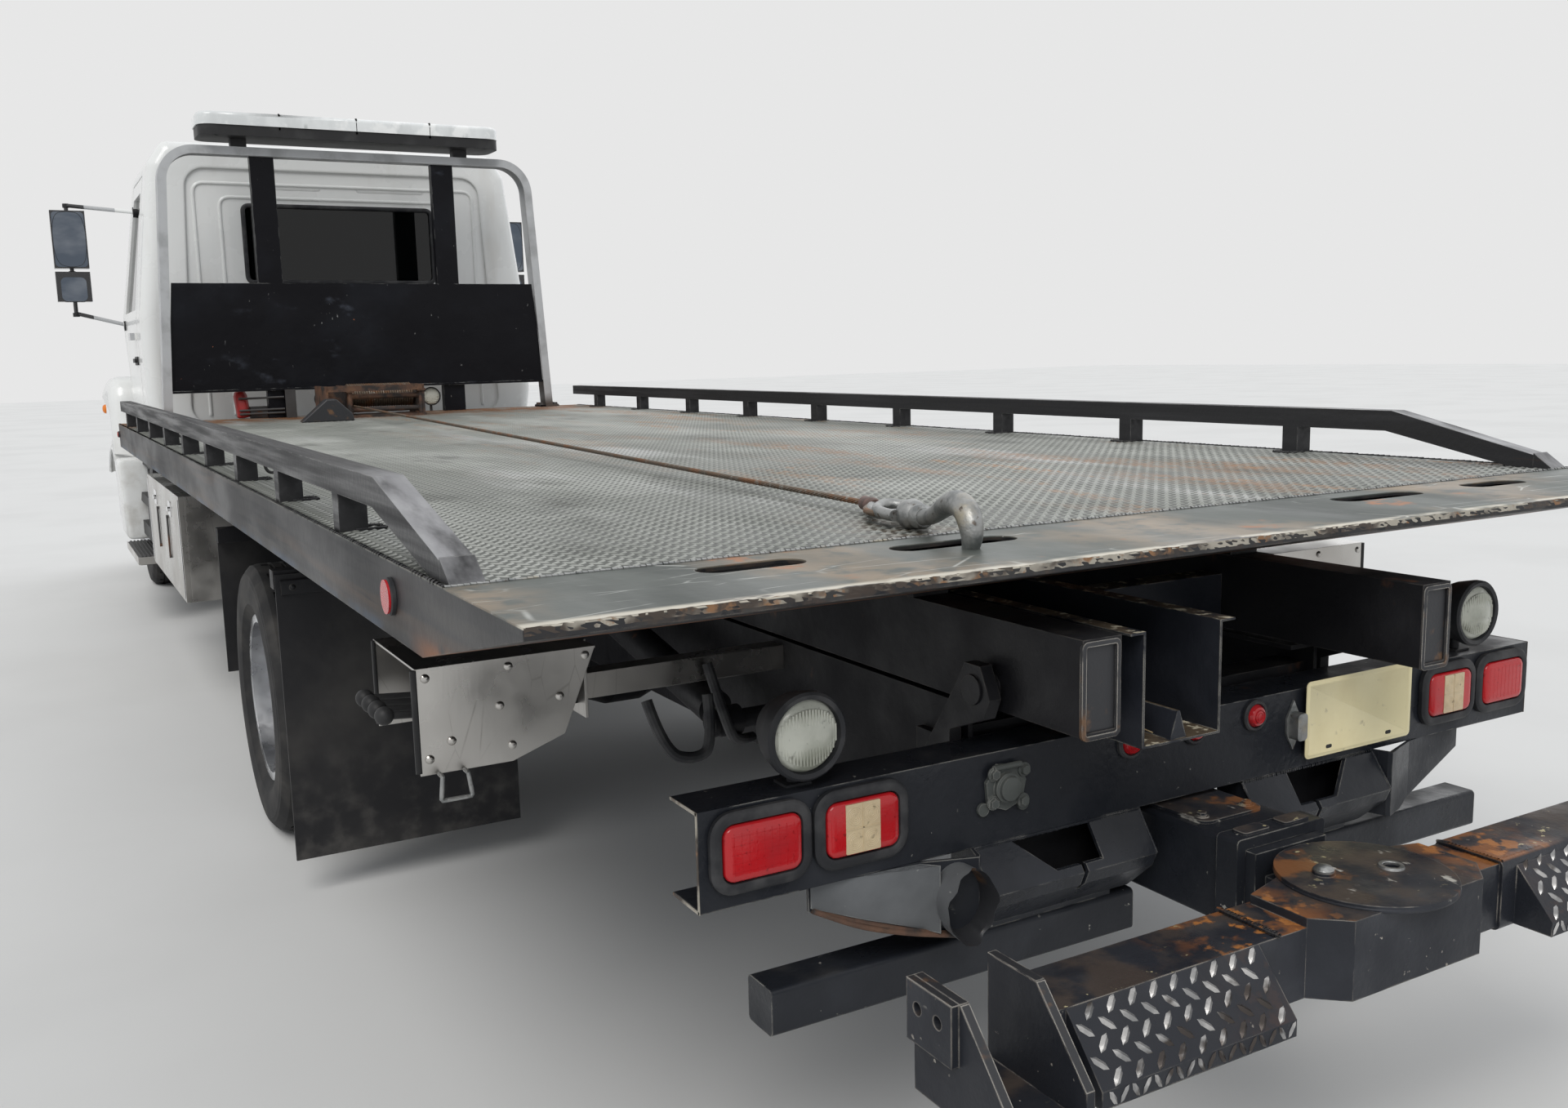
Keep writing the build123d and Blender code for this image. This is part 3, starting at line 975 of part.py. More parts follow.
boom_half = BOOM_W / 2
BOOM_TOP = BOOM_BOTTOM + BOOM_H
with BuildPart() as boom:
    block((-boom_half, boom_half), (BOOM_MOUTH_Y, BOOM_PIVOT_Y + 80), (BOOM_BOTTOM, BOOM_TOP))
    # collar round the mouth
    block((-boom_half - 10, boom_half + 10), (BOOM_MOUTH_Y, BOOM_MOUTH_Y + 45), (BOOM_BOTTOM - 10, BOOM_TOP + 10))
    fillet(boom.edges().filter_by(Axis.Y), radius=8)
    block((-boom_half + BOOM_T, boom_half - BOOM_T), (BOOM_MOUTH_Y - 5, BOOM_PIVOT_Y + 85),
          (BOOM_BOTTOM + BOOM_T, BOOM_TOP - BOOM_T), mode=Mode.SUBTRACT)
    for side in (-1, 1):
        rod((side * (boom_half - 5), BOOM_PIVOT_Y, BOOM_PIVOT_Z), (side * (boom_half + 38), BOOM_PIVOT_Y, BOOM_PIVOT_Z),
            30)
        block(sorted((side * 32, side * 46)), (LIFT_EYE[0] - 40, LIFT_EYE[0] + 40), (BOOM_TOP - 2, LIFT_EYE[1] + 25))
save(boom.part, "boom")

SLIDE_GAP = 0.5
TONGUE_Z = (523, 582)
with BuildPart() as stinger:
    reach = boom_half - BOOM_T - SLIDE_GAP
    block((-reach, reach), (BOOM_MOUTH_Y - 20, BOOM_PIVOT_Y - 60), (BOOM_BOTTOM + BOOM_T + SLIDE_GAP,
                                                                     BOOM_TOP - BOOM_T - SLIDE_GAP))
    block((-60, 60), (SWIVEL_Y, BOOM_MOUTH_Y - 19), TONGUE_Z)
    rod((0, SWIVEL_Y, TONGUE_Z[0]), (0, SWIVEL_Y, TONGUE_Z[1]), 60)
    rod((0, SWIVEL_Y, TONGUE_Z[0] - 10), (0, SWIVEL_Y, TONGUE_Z[1] + 10), 26 + FIT, mode=Mode.SUBTRACT)
save(stinger.part, "stinger")

crossbar_top = CROSSBAR_BOTTOM + CROSSBAR
with BuildPart() as crossbar:
    head = [(-200, SWIVEL_Y + 50), (-60, SWIVEL_Y + 90), (60, SWIVEL_Y + 90), (200, SWIVEL_Y + 50),
            (200, SWIVEL_Y - 55), (150, SWIVEL_Y - 100), (-150, SWIVEL_Y - 100), (-200, SWIVEL_Y - 55)]
    prism(head, Plane.XY.offset(CROSSBAR_BOTTOM), 125)
    cavity = [(-110, SWIVEL_Y + 110), (110, SWIVEL_Y + 110), (75, SWIVEL_Y - 66), (-75, SWIVEL_Y - 66)]
    prism(cavity, Plane.XY.offset(TONGUE_Z[0] - 1), TONGUE_Z[1] - TONGUE_Z[0] + 2, mode=Mode.SUBTRACT)
    rod((0, SWIVEL_Y, CROSSBAR_BOTTOM), (0, SWIVEL_Y, CROSSBAR_BOTTOM + 125), 26)
    # cam plate round the pivot, with its grease cap and lock hole
    rod((0, SWIVEL_Y, CROSSBAR_BOTTOM + 124), (0, SWIVEL_Y, CROSSBAR_BOTTOM + 134), 136)
    rod((-60, SWIVEL_Y + 30, CROSSBAR_BOTTOM + 133), (-60, SWIVEL_Y + 30, CROSSBAR_BOTTOM + 140), 17)
    rod((52, SWIVEL_Y - 8, CROSSBAR_BOTTOM + 110), (52, SWIVEL_Y - 8, CROSSBAR_BOTTOM + 140), 12, mode=Mode.SUBTRACT)
    # outer sleeve on the right
    with BuildSketch(side_plane(262)):
        with Locations((SWIVEL_Y, (CROSSBAR_BOTTOM + crossbar_top) / 2)):
            RectangleRounded(122, crossbar_top - CROSSBAR_BOTTOM + 12, 12)
    extrude(amount=RECEIVER_X[0] - 261)
    back = SWIVEL_Y + 60
    for side in (-1, 1):
        block(sorted((side * 195, side * (RECEIVER_X[0] + 1))), (SWIVEL_Y - 55, SWIVEL_Y + 55),
              (CROSSBAR_BOTTOM, crossbar_top))
        step = [(SWIVEL_Y - 54, crossbar_top), (SWIVEL_Y - 54, CROSSBAR_BOTTOM), (SWIVEL_Y - 125, CROSSBAR_BOTTOM),
                (SWIVEL_Y - 125, CROSSBAR_BOTTOM + 25)]
        prism(step, side_plane(300 if side > 0 else -660), 360)
        # two receiver plates on a floor plate, and a doubler with pin holes on the outer one
        for x in RECEIVER_X:
            cheek = [(back, CROSSBAR_BOTTOM - 10), (back, crossbar_top + 40), (SWIVEL_Y - 40, crossbar_top + 40),
                     (BAR_Y - REAR_REACH, CROSSBAR_BOTTOM + 40), (BAR_Y - REAR_REACH, CROSSBAR_BOTTOM - 10)]
            prism(cheek, side_plane(x if side > 0 else -x - RECEIVER_T), RECEIVER_T)
        block(sorted((side * (RECEIVER_X[0] + 1), side * (RECEIVER_X[1] + 1))), (BAR_Y - REAR_REACH + 8, back - 2),
              (CROSSBAR_BOTTOM - 10, CROSSBAR_BOTTOM + 2))
        face = RECEIVER_X[1] + RECEIVER_T
        doubler = [(back, 556), (back, crossbar_top + 40), (SWIVEL_Y - 38, crossbar_top + 40), (SWIVEL_Y - 38, 556)]
        prism(doubler, side_plane(face if side > 0 else -face - DOUBLER_T), DOUBLER_T)
        for y, z in ((SWIVEL_Y + 36, 606), (SWIVEL_Y - 8, 606)):
            rod((side * (face - RECEIVER_T - 1), y, z), (side * (face + DOUBLER_T + 1), y, z), PIN_HOLE_R,
                mode=Mode.SUBTRACT)
save(crossbar.part, "crossbar")

# Side lamps along the deck's channels

with BuildPart() as deck_lamps:
    for y, radius in ((BAR_Y + 411, 27), (DECK_FRONT_Y - 30, 14)):
        rod((half_deck + SEAT, y, 1094), (half_deck + 12, y, 1094), radius)
    mirror(about=Plane.YZ)
save(deck_lamps.part, "deck_lamps")
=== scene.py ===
import math
import random

import bmesh
import bpy
from mathutils import Matrix, Vector


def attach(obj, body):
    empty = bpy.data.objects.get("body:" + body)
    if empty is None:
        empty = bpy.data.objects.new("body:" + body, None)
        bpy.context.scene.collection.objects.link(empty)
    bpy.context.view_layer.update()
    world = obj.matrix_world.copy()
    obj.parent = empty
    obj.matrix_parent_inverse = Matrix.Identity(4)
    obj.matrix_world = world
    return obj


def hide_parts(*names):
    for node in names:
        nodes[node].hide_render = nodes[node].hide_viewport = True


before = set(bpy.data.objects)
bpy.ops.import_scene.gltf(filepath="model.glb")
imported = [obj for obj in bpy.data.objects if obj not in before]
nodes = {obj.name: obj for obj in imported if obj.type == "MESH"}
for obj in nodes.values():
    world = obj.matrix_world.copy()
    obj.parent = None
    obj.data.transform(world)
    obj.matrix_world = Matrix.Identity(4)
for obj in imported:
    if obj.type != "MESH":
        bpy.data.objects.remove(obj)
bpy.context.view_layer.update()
scene = bpy.context.scene

# Pieces are drawn from the tail: X to the truck's right, Y forward from the light bar's rear face,
# Z up from the floor, all in metres. BAR_Y puts them in the truck's own frame.
BAR_Y = -4.46
DECK_TOP = 1.149
DECK_HALF = 1.297
TAIL_Y = -0.215
TREAD_Y = 0.115                  # where the tread plate ends and the smooth tail begins
DECK_FRONT_Y = 6.39
AXLE_REAR_Y = 2.72
AXLE_FRONT_Y = 8.25
WHEEL_Z = 0.419
ON_DECK = DECK_TOP + 0.0005      # what stands on the deck starts just above it
BAR_HALF = 0.985                 # half of the light bar's width
SEAT_X = 0.56
MIRROR_X = 1.385
SIDES = (("left", -1), ("right", 1))


# Materials

EVEN = (1, 1, 1)
RUST = (0.26, 0.10, 0.035)
DARK_RUST = (0.10, 0.045, 0.025)
DUST = (0.30, 0.28, 0.25)
CONSTANTS = {"specular": "Specular IOR Level", "coat": "Coat Weight", "coat_roughness": "Coat Roughness",
             "clear": "Transmission Weight", "ior": "IOR"}


def shader_node(tree, kind, inputs=None, **settings):
    """A shader node with its settings, and its inputs set to values or linked to sockets."""
    node = tree.nodes.new("ShaderNode" + kind)
    for name, value in settings.items():
        setattr(node, name, value)
    for key, value in (inputs or {}).items():
        if isinstance(value, bpy.types.NodeSocket):
            tree.links.new(value, node.inputs[key])
        else:
            node.inputs[key].default_value = value
    return node


class Finish:
    """One material and the steps that colour it, from the ground colour up."""

    def __init__(self, name, colour, roughness=0.5, metallic=0.0, **constants):
        self.mat = bpy.data.materials.new(name)
        self.mat.use_nodes = True
        self.tree = self.mat.node_tree
        self.shader = self.tree.nodes["Principled BSDF"]
        self.colour = (*colour, 1)
        self.shader.inputs["Base Color"].default_value = self.colour
        self.shader.inputs["Roughness"].default_value = roughness
        self.shader.inputs["Metallic"].default_value = metallic
        for name, value in constants.items():
            self.shader.inputs[CONSTANTS[name]].default_value = value

    def node(self, kind, inputs=None, **settings):
        return shader_node(self.tree, kind, inputs, **settings)

    def place(self, stretch=EVEN):
        coordinates = self.node("TexCoord").outputs["Object"]
        return self.node("Mapping", {"Vector": coordinates, "Scale": stretch}).outputs["Vector"]

    def ramp(self, value, low, high):
        """A value cut smoothly to 0..1 between two levels; high below low turns it round."""
        ends = {"To Min": 1, "To Max": 0} if high < low else {}
        return self.node("MapRange", {"Value": value, "From Min": min(low, high), "From Max": max(low, high),
                                      **ends}, interpolation_type="SMOOTHSTEP").outputs["Result"]

    def noise(self, scale, low, high, stretch=EVEN):
        noise = self.node("TexNoise", {"Vector": self.place(stretch), "Scale": scale, "Detail": 4,
                                       "Roughness": 0.55})
        return self.ramp(noise.outputs["Fac"], low, high)

    def scratches(self, scale, width, stretch):
        """Thin lines drawn out along the axis with the smallest stretch."""
        cells = self.node("TexVoronoi", {"Vector": self.place(stretch), "Scale": scale},
                          feature="DISTANCE_TO_EDGE")
        return self.ramp(cells.outputs["Distance"], width, 0)

    def part(self, vector, axis):
        return self.node("SeparateXYZ", {"Vector": vector}).outputs[axis]

    def dot(self, first, second):
        return self.node("VectorMath", {0: first, 1: second}, operation="DOT_PRODUCT").outputs["Value"]

    def normal(self):
        return self.node("NewGeometry").outputs["Normal"]

    def along(self, axis, low, high):
        """0..1 between two places on an axis, in the truck's own frame."""
        return self.ramp(self.part(self.place(), axis), low, high)

    def beyond(self, weights, low, high):
        """0..1 by a weighted sum of the distances from the truck's origin along its axes."""
        size = self.node("VectorMath", {0: self.place()}, operation="ABSOLUTE")
        return self.ramp(self.dot(size.outputs["Vector"], weights), low, high)

    def facing(self, axis, low, high):
        """0..1 by how far the surface faces along an axis."""
        return self.ramp(self.part(self.normal(), axis), low, high)

    def rounded(self, radius):
        return self.node("Bevel", {"Radius": radius}, samples=4).outputs["Normal"]

    def edges(self, radius=0.004, low=0.03, high=0.3):
        """1 near sharp edges."""
        return self.ramp(self.dot(self.rounded(radius), self.normal()), 1 - low, 1 - high)

    def times(self, *values):
        product = values[0]
        for value in values[1:]:
            product = self.node("Math", {0: product, 1: value}, operation="MULTIPLY").outputs["Value"]
        return product

    def paint(self, colour, *factors):
        """Lays a colour over what is there, by the product of its factors."""
        mix = self.node("Mix", {6: self.colour, 7: (*colour, 1)}, data_type="RGBA")
        self.tree.links.new(self.times(*factors), mix.inputs["Factor"])
        self.colour = mix.outputs[2]
        self.tree.links.new(self.colour, self.shader.inputs["Base Color"])
        return self

    def mottle(self, colour, *noise):
        """Paints patches of a colour by one noise."""
        return self.paint(colour, self.noise(*noise))

    def uneven(self, scale, low, high, stretch=EVEN, cut=(0.3, 0.7)):
        """Roughness that wanders from low to high."""
        reach = self.node("MapRange", {"Value": self.noise(scale, *cut, stretch), "To Min": low,
                                       "To Max": high})
        self.tree.links.new(reach.outputs["Result"], self.shader.inputs["Roughness"])
        return self

    def grain(self, scale, strength, depth, rounding=0.0, stretch=EVEN, cut=(0.3, 0.7)):
        """Fine relief, and corners that look rounded."""
        soft = {"Normal": self.rounded(rounding)} if rounding else {}
        relief = self.node("Bump", {"Height": self.noise(scale, *cut, stretch), "Strength": strength,
                                    "Distance": depth, **soft})
        self.tree.links.new(relief.outputs["Normal"], self.shader.inputs["Normal"])
        return self


def painted(name, colour, roughness, wear, rust_level=0.66, metallic=0.0, chips=0.0, stretch=EVEN):
    """Painted steel: uneven gloss, dust on top, worn edges, rust in spots and small chips."""
    f = Finish(name, colour, roughness, metallic, specular=0.28)
    f.mottle([c * 1.5 + 0.004 for c in colour], 5, 0.48, 0.8, stretch)
    f.paint(DUST, f.facing(2, 0.5, 1.0), f.noise(7, 0.5, 0.85, stretch), 0.2)
    f.mottle(DARK_RUST, 9, rust_level, rust_level + 0.1, stretch)
    f.paint(wear, f.edges(), f.noise(16, 0.42, 0.6))
    if chips:
        f.paint(wear, f.noise(70, 0.69, 0.72), f.noise(6, 0.5, 0.6), chips)
    f.uneven(6, roughness - 0.18, roughness + 0.18, stretch)
    return f.grain(70, 0.22, 0.0015, 0.002, cut=(0.25, 0.75))


frame_black = painted("frame_black", (0.012, 0.012, 0.014), 0.55, (0.12, 0.11, 0.10)).mat
bar_black = painted("bar_black", (0.016, 0.018, 0.023), 0.40, (0.34, 0.33, 0.30), 0.72, chips=0.9).mat
iron = painted("iron", (0.055, 0.054, 0.054), 0.6, (0.16, 0.13, 0.11), 0.58).mat
socket_grey = painted("socket_grey", (0.075, 0.082, 0.078), 0.5, (0.28, 0.28, 0.26), chips=0.8).mat
sheet_grey = painted("sheet_grey", (0.100, 0.105, 0.110), 0.42, (0.40, 0.40, 0.38), 0.78, chips=0.6).mat

f = painted("guard_black", (0.030, 0.030, 0.032), 0.50, (0.26, 0.26, 0.25), 0.70, 0.15, stretch=(6, 0.22, 6))
f.paint((0.30, 0.30, 0.31), f.facing(2, 0.6, 0.98), f.along(1, BAR_Y + 0.95, BAR_Y + 0.35),
        f.noise(9, 0.25, 0.6, (2, 0.4, 2)))
guard_black = f.mat

# the wheel lift: stained tops, rust beside the pivot head, and a scraped pivot disc
f = painted("lift_black", (0.020, 0.022, 0.028), 0.44, (0.36, 0.33, 0.29), 0.70, chips=1.0)
near_head = f.times(f.facing(2, 0.6, 0.95), f.beyond((1, 0, 0), 0.46, 0.30), f.beyond((1, 0, 0), 0.12, 0.22))
disc = f.along(2, 0.6135, 0.6225)
f.paint((0.075, 0.058, 0.048), f.facing(2, 0.6, 0.95), f.noise(11, 0.42, 0.62), 0.8)
f.paint((0.24, 0.095, 0.035), near_head, f.noise(13, 0.46, 0.58))
f.paint((0.42, 0.17, 0.05), near_head, f.noise(29, 0.55, 0.64))
f.paint((0.20, 0.085, 0.035), disc, f.noise(9, 0.56, 0.64))
f.paint((0.52, 0.46, 0.27), f.facing(2, 0.8, 0.98), f.noise(52, 0.64, 0.69), f.noise(4, 0.50, 0.60))
f.paint((0.50, 0.48, 0.43), disc, f.noise(34, 0.63, 0.70, (1, 0.5, 1)), 0.9)
lift_black = f.mat

f = painted("trough_black", (0.016, 0.018, 0.024), 0.5, (0.40, 0.38, 0.33), 0.74)
floor_dirt = f.times(f.facing(2, 0.5, 0.95), f.along(1, BAR_Y + 0.9, BAR_Y + 0.1))
f.paint((0.10, 0.075, 0.05), floor_dirt, f.noise(16, 0.35, 0.55))
f.paint((0.55, 0.50, 0.38), floor_dirt, f.noise(46, 0.56, 0.64))
trough_black = f.mat

CAB_PAINT, CAB_SHADE, ROAD_DIRT = (0.80, 0.81, 0.80), (0.73, 0.73, 0.71), (0.50, 0.48, 0.44)
f = Finish("cab_white", CAB_PAINT, 0.25, coat=0.5, coat_roughness=0.06).mottle(CAB_SHADE, 1.6, 0.45, 0.8)
f.paint(ROAD_DIRT, f.along(2, 1.25, 0.6), f.noise(8, 0.42, 0.75), 0.7)
f.paint((0.60, 0.58, 0.54), f.noise(5, 0.55, 0.8, (1, 1, 0.25)), 0.5)
cab_white = f.uneven(3, 0.2, 0.34).grain(2.5, 0.03, 0.004, 0.02).mat

# the doors carry the mirrors: grey arms, then black heads, from the door outwards
f = Finish("door_white", CAB_PAINT, 0.25, coat=0.5).mottle(CAB_SHADE, 1.6, 0.45, 0.8)
f.paint(ROAD_DIRT, f.along(2, 1.25, 0.9), f.noise(8, 0.42, 0.75), 0.7)
f.paint((0.42, 0.43, 0.44), f.beyond((1, 0, 0), 1.130, 1.132))
f.paint((0.014, 0.014, 0.016), f.beyond((1, 0, 0), 1.290, 1.293))
door_white = f.grain(2.5, 0.03, 0.004, 0.006).mat

f = Finish("board_black", (0.0045, 0.0045, 0.0065), 0.36, specular=0.14) \
    .mottle((0.010, 0.011, 0.015), 2.6, 0.45, 0.8)
f.paint((0.050, 0.056, 0.072), f.noise(6.5, 0.60, 0.78, (1, 1, 1.6)), f.noise(1.7, 0.48, 0.62))
f.paint((0.22, 0.22, 0.22), f.noise(70, 0.70, 0.73, (1, 1, 0.4)), f.noise(5, 0.5, 0.6))
f.mottle((0.32, 0.12, 0.06), 30, 0.755, 0.77)
f.paint((0.32, 0.32, 0.31), f.edges(), f.noise(16, 0.5, 0.62))
# the hoop round the board is bare and grey: its beam, its legs and their corners
legs = f.beyond((1, 0, 0.0556), 1.1045, 1.1055)
for hoop in (f.along(2, 2.5515, 2.5525), legs, f.beyond((1, 0, 1), 3.35, 3.352)):
    f.paint((0.50, 0.51, 0.52), hoop)
    f.paint((0.36, 0.365, 0.37), hoop, f.noise(6, 0.45, 0.7))
f.paint((0.10, 0.085, 0.075), legs, f.along(2, 1.24, 1.16))
board_black = f.uneven(4, 0.26, 0.5).grain(3.4, 0.25, 0.01, 0.002).mat


def deck_finish(name, ground, painted_sheen, rust_share):
    """Bare deck steel: grey green, stained, with orange streaks, and lighter patches and bright streaks that
    are partly the steel's own tone and partly painted sheen, by place on the deck.
    """
    f = Finish(name, ground, 0.46, 0.4, specular=0.35)
    # painted sheen: the lighter mottle and the bright streaks after it are partly the steel's own tone and
    # partly painted sheen
    f.mottle(painted_sheen, 2.0, 0.42, 0.68, (1, 0.45, 1))
    f.paint([c * 0.55 for c in ground], f.noise(4.6, 0.54, 0.76, (1, 0.6, 1)), 0.8)
    f.paint([min(c * 1.7, 0.6) for c in painted_sheen], f.noise(1.7, 0.56, 0.72, (1.6, 0.35, 1)), 0.6)
    right_side = f.along(0, -0.9, 0.4)
    f.paint((0.32, 0.16, 0.07), f.noise(1.9, 0.52, 0.66, (2.4, 0.4, 1)), f.noise(26, 0.35, 0.6), right_side,
            rust_share)
    f.paint((0.42, 0.20, 0.07), f.noise(3.1, 0.58, 0.68, (1.8, 0.4, 1)), f.noise(40, 0.42, 0.6), right_side,
            rust_share)
    f.paint((0.24, 0.115, 0.055), f.along(1, BAR_Y + 5.5, BAR_Y + 6.1), f.noise(9, 0.32, 0.55))
    return f.uneven(5, 0.40, 0.58, (1, 0.4, 1))


f = deck_finish("tread_valley", (0.070, 0.075, 0.066), (0.105, 0.112, 0.100), 0.7)
# the smooth tail plate, its worn lip, and the painted sides under the top
tail = f.along(1, BAR_Y + TREAD_Y + 0.004, BAR_Y + TREAD_Y - 0.004)
f.paint((0.105, 0.118, 0.108), tail)
f.paint((0.050, 0.060, 0.054), tail, f.noise(3.4, 0.40, 0.62, (1, 0.5, 1)))
f.paint((0.33, 0.25, 0.17), tail, f.noise(1.6, 0.50, 0.64, (1, 0.6, 1)), f.noise(18, 0.30, 0.55), 0.85)
f.paint((0.34, 0.14, 0.055), tail, f.noise(5.5, 0.62, 0.68), f.noise(30, 0.4, 0.6))
f.paint((0.55, 0.56, 0.53), tail, f.scratches(16, 0.025, (0.25, 1, 1)), f.noise(5, 0.5, 0.62), 0.8)
lip = f.along(1, BAR_Y + TAIL_Y + 0.030, BAR_Y + TAIL_Y + 0.012)
f.paint((0.62, 0.58, 0.49), lip, f.noise(13, 0.34, 0.50, (0.6, 1, 1)))
f.paint((0.05, 0.042, 0.038), lip, f.noise(21, 0.55, 0.62, (0.5, 1, 1)))
below = f.along(2, DECK_TOP - 0.0015, DECK_TOP - 0.0035)
f.paint((0.034, 0.034, 0.036), below)
f.paint((0.066, 0.062, 0.058), below, f.noise(3, 0.45, 0.66, (4, 0.22, 4)), 0.8)
f.paint((0.075, 0.054, 0.042), below, f.noise(6, 0.50, 0.66, (3, 0.12, 3)), 0.7)
f.paint((0.020, 0.021, 0.024), below, f.noise(9, 0.54, 0.66, (3, 0.14, 3)))
f.paint((0.055, 0.085, 0.135), below, f.along(2, DECK_TOP - 0.100, DECK_TOP - 0.118), f.noise(5, 0.40, 0.6),
        0.6)
f.paint(RUST, below, f.along(1, BAR_Y + 0.34, BAR_Y + 0.16), f.along(2, DECK_TOP - 0.075, DECK_TOP - 0.112),
        f.noise(15, 0.36, 0.5))
f.paint((0.30, 0.28, 0.25), f.edges(), f.noise(12, 0.42, 0.6))
tread_valley = f.grain(42, 0.16, 0.0015, 0.003, cut=(0.25, 0.75)).mat

tread_crown = deck_finish("tread_crown", (0.27, 0.28, 0.255), (0.42, 0.43, 0.40), 0.5) \
    .grain(120, 0.15, 0.0006, cut=(0.25, 0.75)).mat

# rubber and plastic
tyre_rubber = Finish("tyre_rubber", (0.020, 0.020, 0.021), 0.78, specular=0.3) \
    .mottle((0.058, 0.055, 0.052), 7, 0.4, 0.75).grain(160, 0.14, 0.0008).mat
f = Finish("flap_rubber", (0.016, 0.016, 0.018), 0.6, specular=0.3) \
    .mottle((0.050, 0.048, 0.046), 3, 0.42, 0.8)
f.paint((0.09, 0.085, 0.08), f.along(2, 0.5, 0.1), f.noise(12, 0.45, 0.7), 0.6)
flap_rubber = f.grain(6, 0.3, 0.006).mat
lamp_rubber = Finish("lamp_rubber", (0.020, 0.021, 0.024), 0.55, specular=0.3) \
    .mottle((0.060, 0.060, 0.062), 14, 0.42, 0.7).grain(120, 0.12, 0.0006).mat
dark_plastic = Finish("dark_plastic", (0.020, 0.020, 0.021), 0.5, specular=0.3) \
    .mottle((0.045, 0.045, 0.046), 9, 0.45, 0.8).grain(240, 0.12, 0.0005, 0.003).mat
seat_grey = Finish("seat_grey", (0.10, 0.10, 0.105), 0.85) \
    .mottle((0.15, 0.15, 0.155), 30, 0.42, 0.7).grain(280, 0.35, 0.0008, 0.012).mat
extinguisher_red = Finish("extinguisher_red", (0.42, 0.02, 0.02), 0.35) \
    .mottle((0.25, 0.03, 0.025), 12, 0.45, 0.7).mat
straw = Finish("straw", (0.46, 0.36, 0.20), 0.9).mottle((0.30, 0.22, 0.12), 30, 0.42, 0.6).mat

# bare metal
bright_alloy = Finish("bright_alloy", (0.66, 0.67, 0.69), 0.24, 1.0) \
    .mottle((0.42, 0.42, 0.43), 7, 0.45, 0.8).uneven(9, 0.18, 0.42).grain(90, 0.05, 0.0006, 0.002).mat
f = Finish("stainless", (0.56, 0.545, 0.52), 0.3, 1.0).mottle((0.42, 0.40, 0.375), 3, 0.42, 0.8, (1, 1, 0.5))
f.paint((0.30, 0.28, 0.26), f.scratches(22, 0.02, (1, 1, 0.3)), f.noise(6, 0.5, 0.65), 0.6)
stainless = f.uneven(5, 0.22, 0.42).grain(160, 0.05, 0.0005, 0.002, (1, 1, 0.06)).mat
chrome = Finish("chrome", (0.74, 0.74, 0.75), 0.1, 1.0) \
    .mottle((0.50, 0.49, 0.48), 9, 0.55, 0.8).uneven(6, 0.06, 0.2).mat
rope_steel = Finish("rope_steel", (0.15, 0.115, 0.085), 0.55, 0.5) \
    .mottle((0.22, 0.105, 0.05), 11, 0.45, 0.65) \
    .mottle((0.26, 0.24, 0.21), 60, 0.55, 0.7).grain(300, 0.2, 0.0005).mat
forged_steel = Finish("forged_steel", (0.34, 0.345, 0.34), 0.42, 0.75) \
    .mottle((0.20, 0.21, 0.21), 26, 0.45, 0.65) \
    .mottle((0.40, 0.36, 0.28), 14, 0.55, 0.72) \
    .mottle((0.12, 0.10, 0.085), 60, 0.62, 0.72).grain(110, 0.35, 0.0012).mat
ferrule_brown = Finish("ferrule_brown", (0.17, 0.10, 0.085), 0.6, 0.3) \
    .mottle((0.10, 0.065, 0.055), 40, 0.45, 0.65).grain(130, 0.3, 0.001).mat
bare_edge = Finish("bare_edge", (0.42, 0.39, 0.33), 0.5, 0.4) \
    .mottle((0.07, 0.055, 0.045), 13, 0.42, 0.56, (0.7, 1, 1)).mottle((0.26, 0.14, 0.07), 30, 0.56, 0.68) \
    .grain(150, 0.3, 0.0008).mat
rusty_edge = Finish("rusty_edge", (0.115, 0.060, 0.038), 0.75).mottle((0.21, 0.105, 0.055), 24, 0.45, 0.62) \
    .mottle((0.030, 0.024, 0.022), 12, 0.42, 0.58).grain(90, 0.5, 0.0015).mat
f = Finish("trodden_black", (0.035, 0.036, 0.040), 0.5, 0.3)
f.paint((0.50, 0.47, 0.42), f.edges(0.003, 0.01, 0.12), f.noise(22, 0.32, 0.5))
trodden_black = f.mottle((0.16, 0.09, 0.05), 18, 0.55, 0.7).grain(150, 0.2, 0.0008).mat
tread_mark = Finish("tread_mark", (0.30, 0.30, 0.30), 0.32, 0.8).mottle((0.52, 0.51, 0.50), 22, 0.40, 0.60) \
    .mottle((0.07, 0.06, 0.055), 9, 0.54, 0.62).grain(150, 0.2, 0.0006).mat
mirror_glass = Finish("mirror_glass", (0.10, 0.12, 0.15), 0.04, 1.0) \
    .mottle((0.19, 0.21, 0.24), 3, 0.4, 0.7, (1, 1, 2)).mat


def lens(name, colour, faded, ribs=None):
    """A moulded plastic lens, with fine grain or ribs seen through its face."""
    f = Finish(name, colour, 0.16, coat=0.25, coat_roughness=0.12, specular=0.35).mottle(faded, 9, 0.42, 0.8)
    f.mottle([c * 0.55 for c in colour], 90, 0.60, 0.72)
    return f.grain(40 if ribs else 260, 0.18, 0.0006, stretch=ribs or EVEN).mat


red_lens = lens("red_lens", (0.50, 0.012, 0.017), (0.38, 0.026, 0.032))
cream_lens = lens("cream_lens", (0.62, 0.50, 0.32), (0.50, 0.38, 0.24))
amber_lens = lens("amber_lens", (0.80, 0.22, 0.02), (0.60, 0.16, 0.03))
clear_lens = lens("clear_lens", (0.55, 0.56, 0.49), (0.24, 0.25, 0.20), ribs=(9, 9, 0.6))

f = Finish("plate_cream", (0.86, 0.77, 0.47), 0.42).mottle((0.78, 0.68, 0.39), 9, 0.42, 0.75)
plate_cream = f.paint((0.42, 0.36, 0.22), f.noise(40, 0.62, 0.74), 0.6).grain(60, 0.1, 0.0006).mat

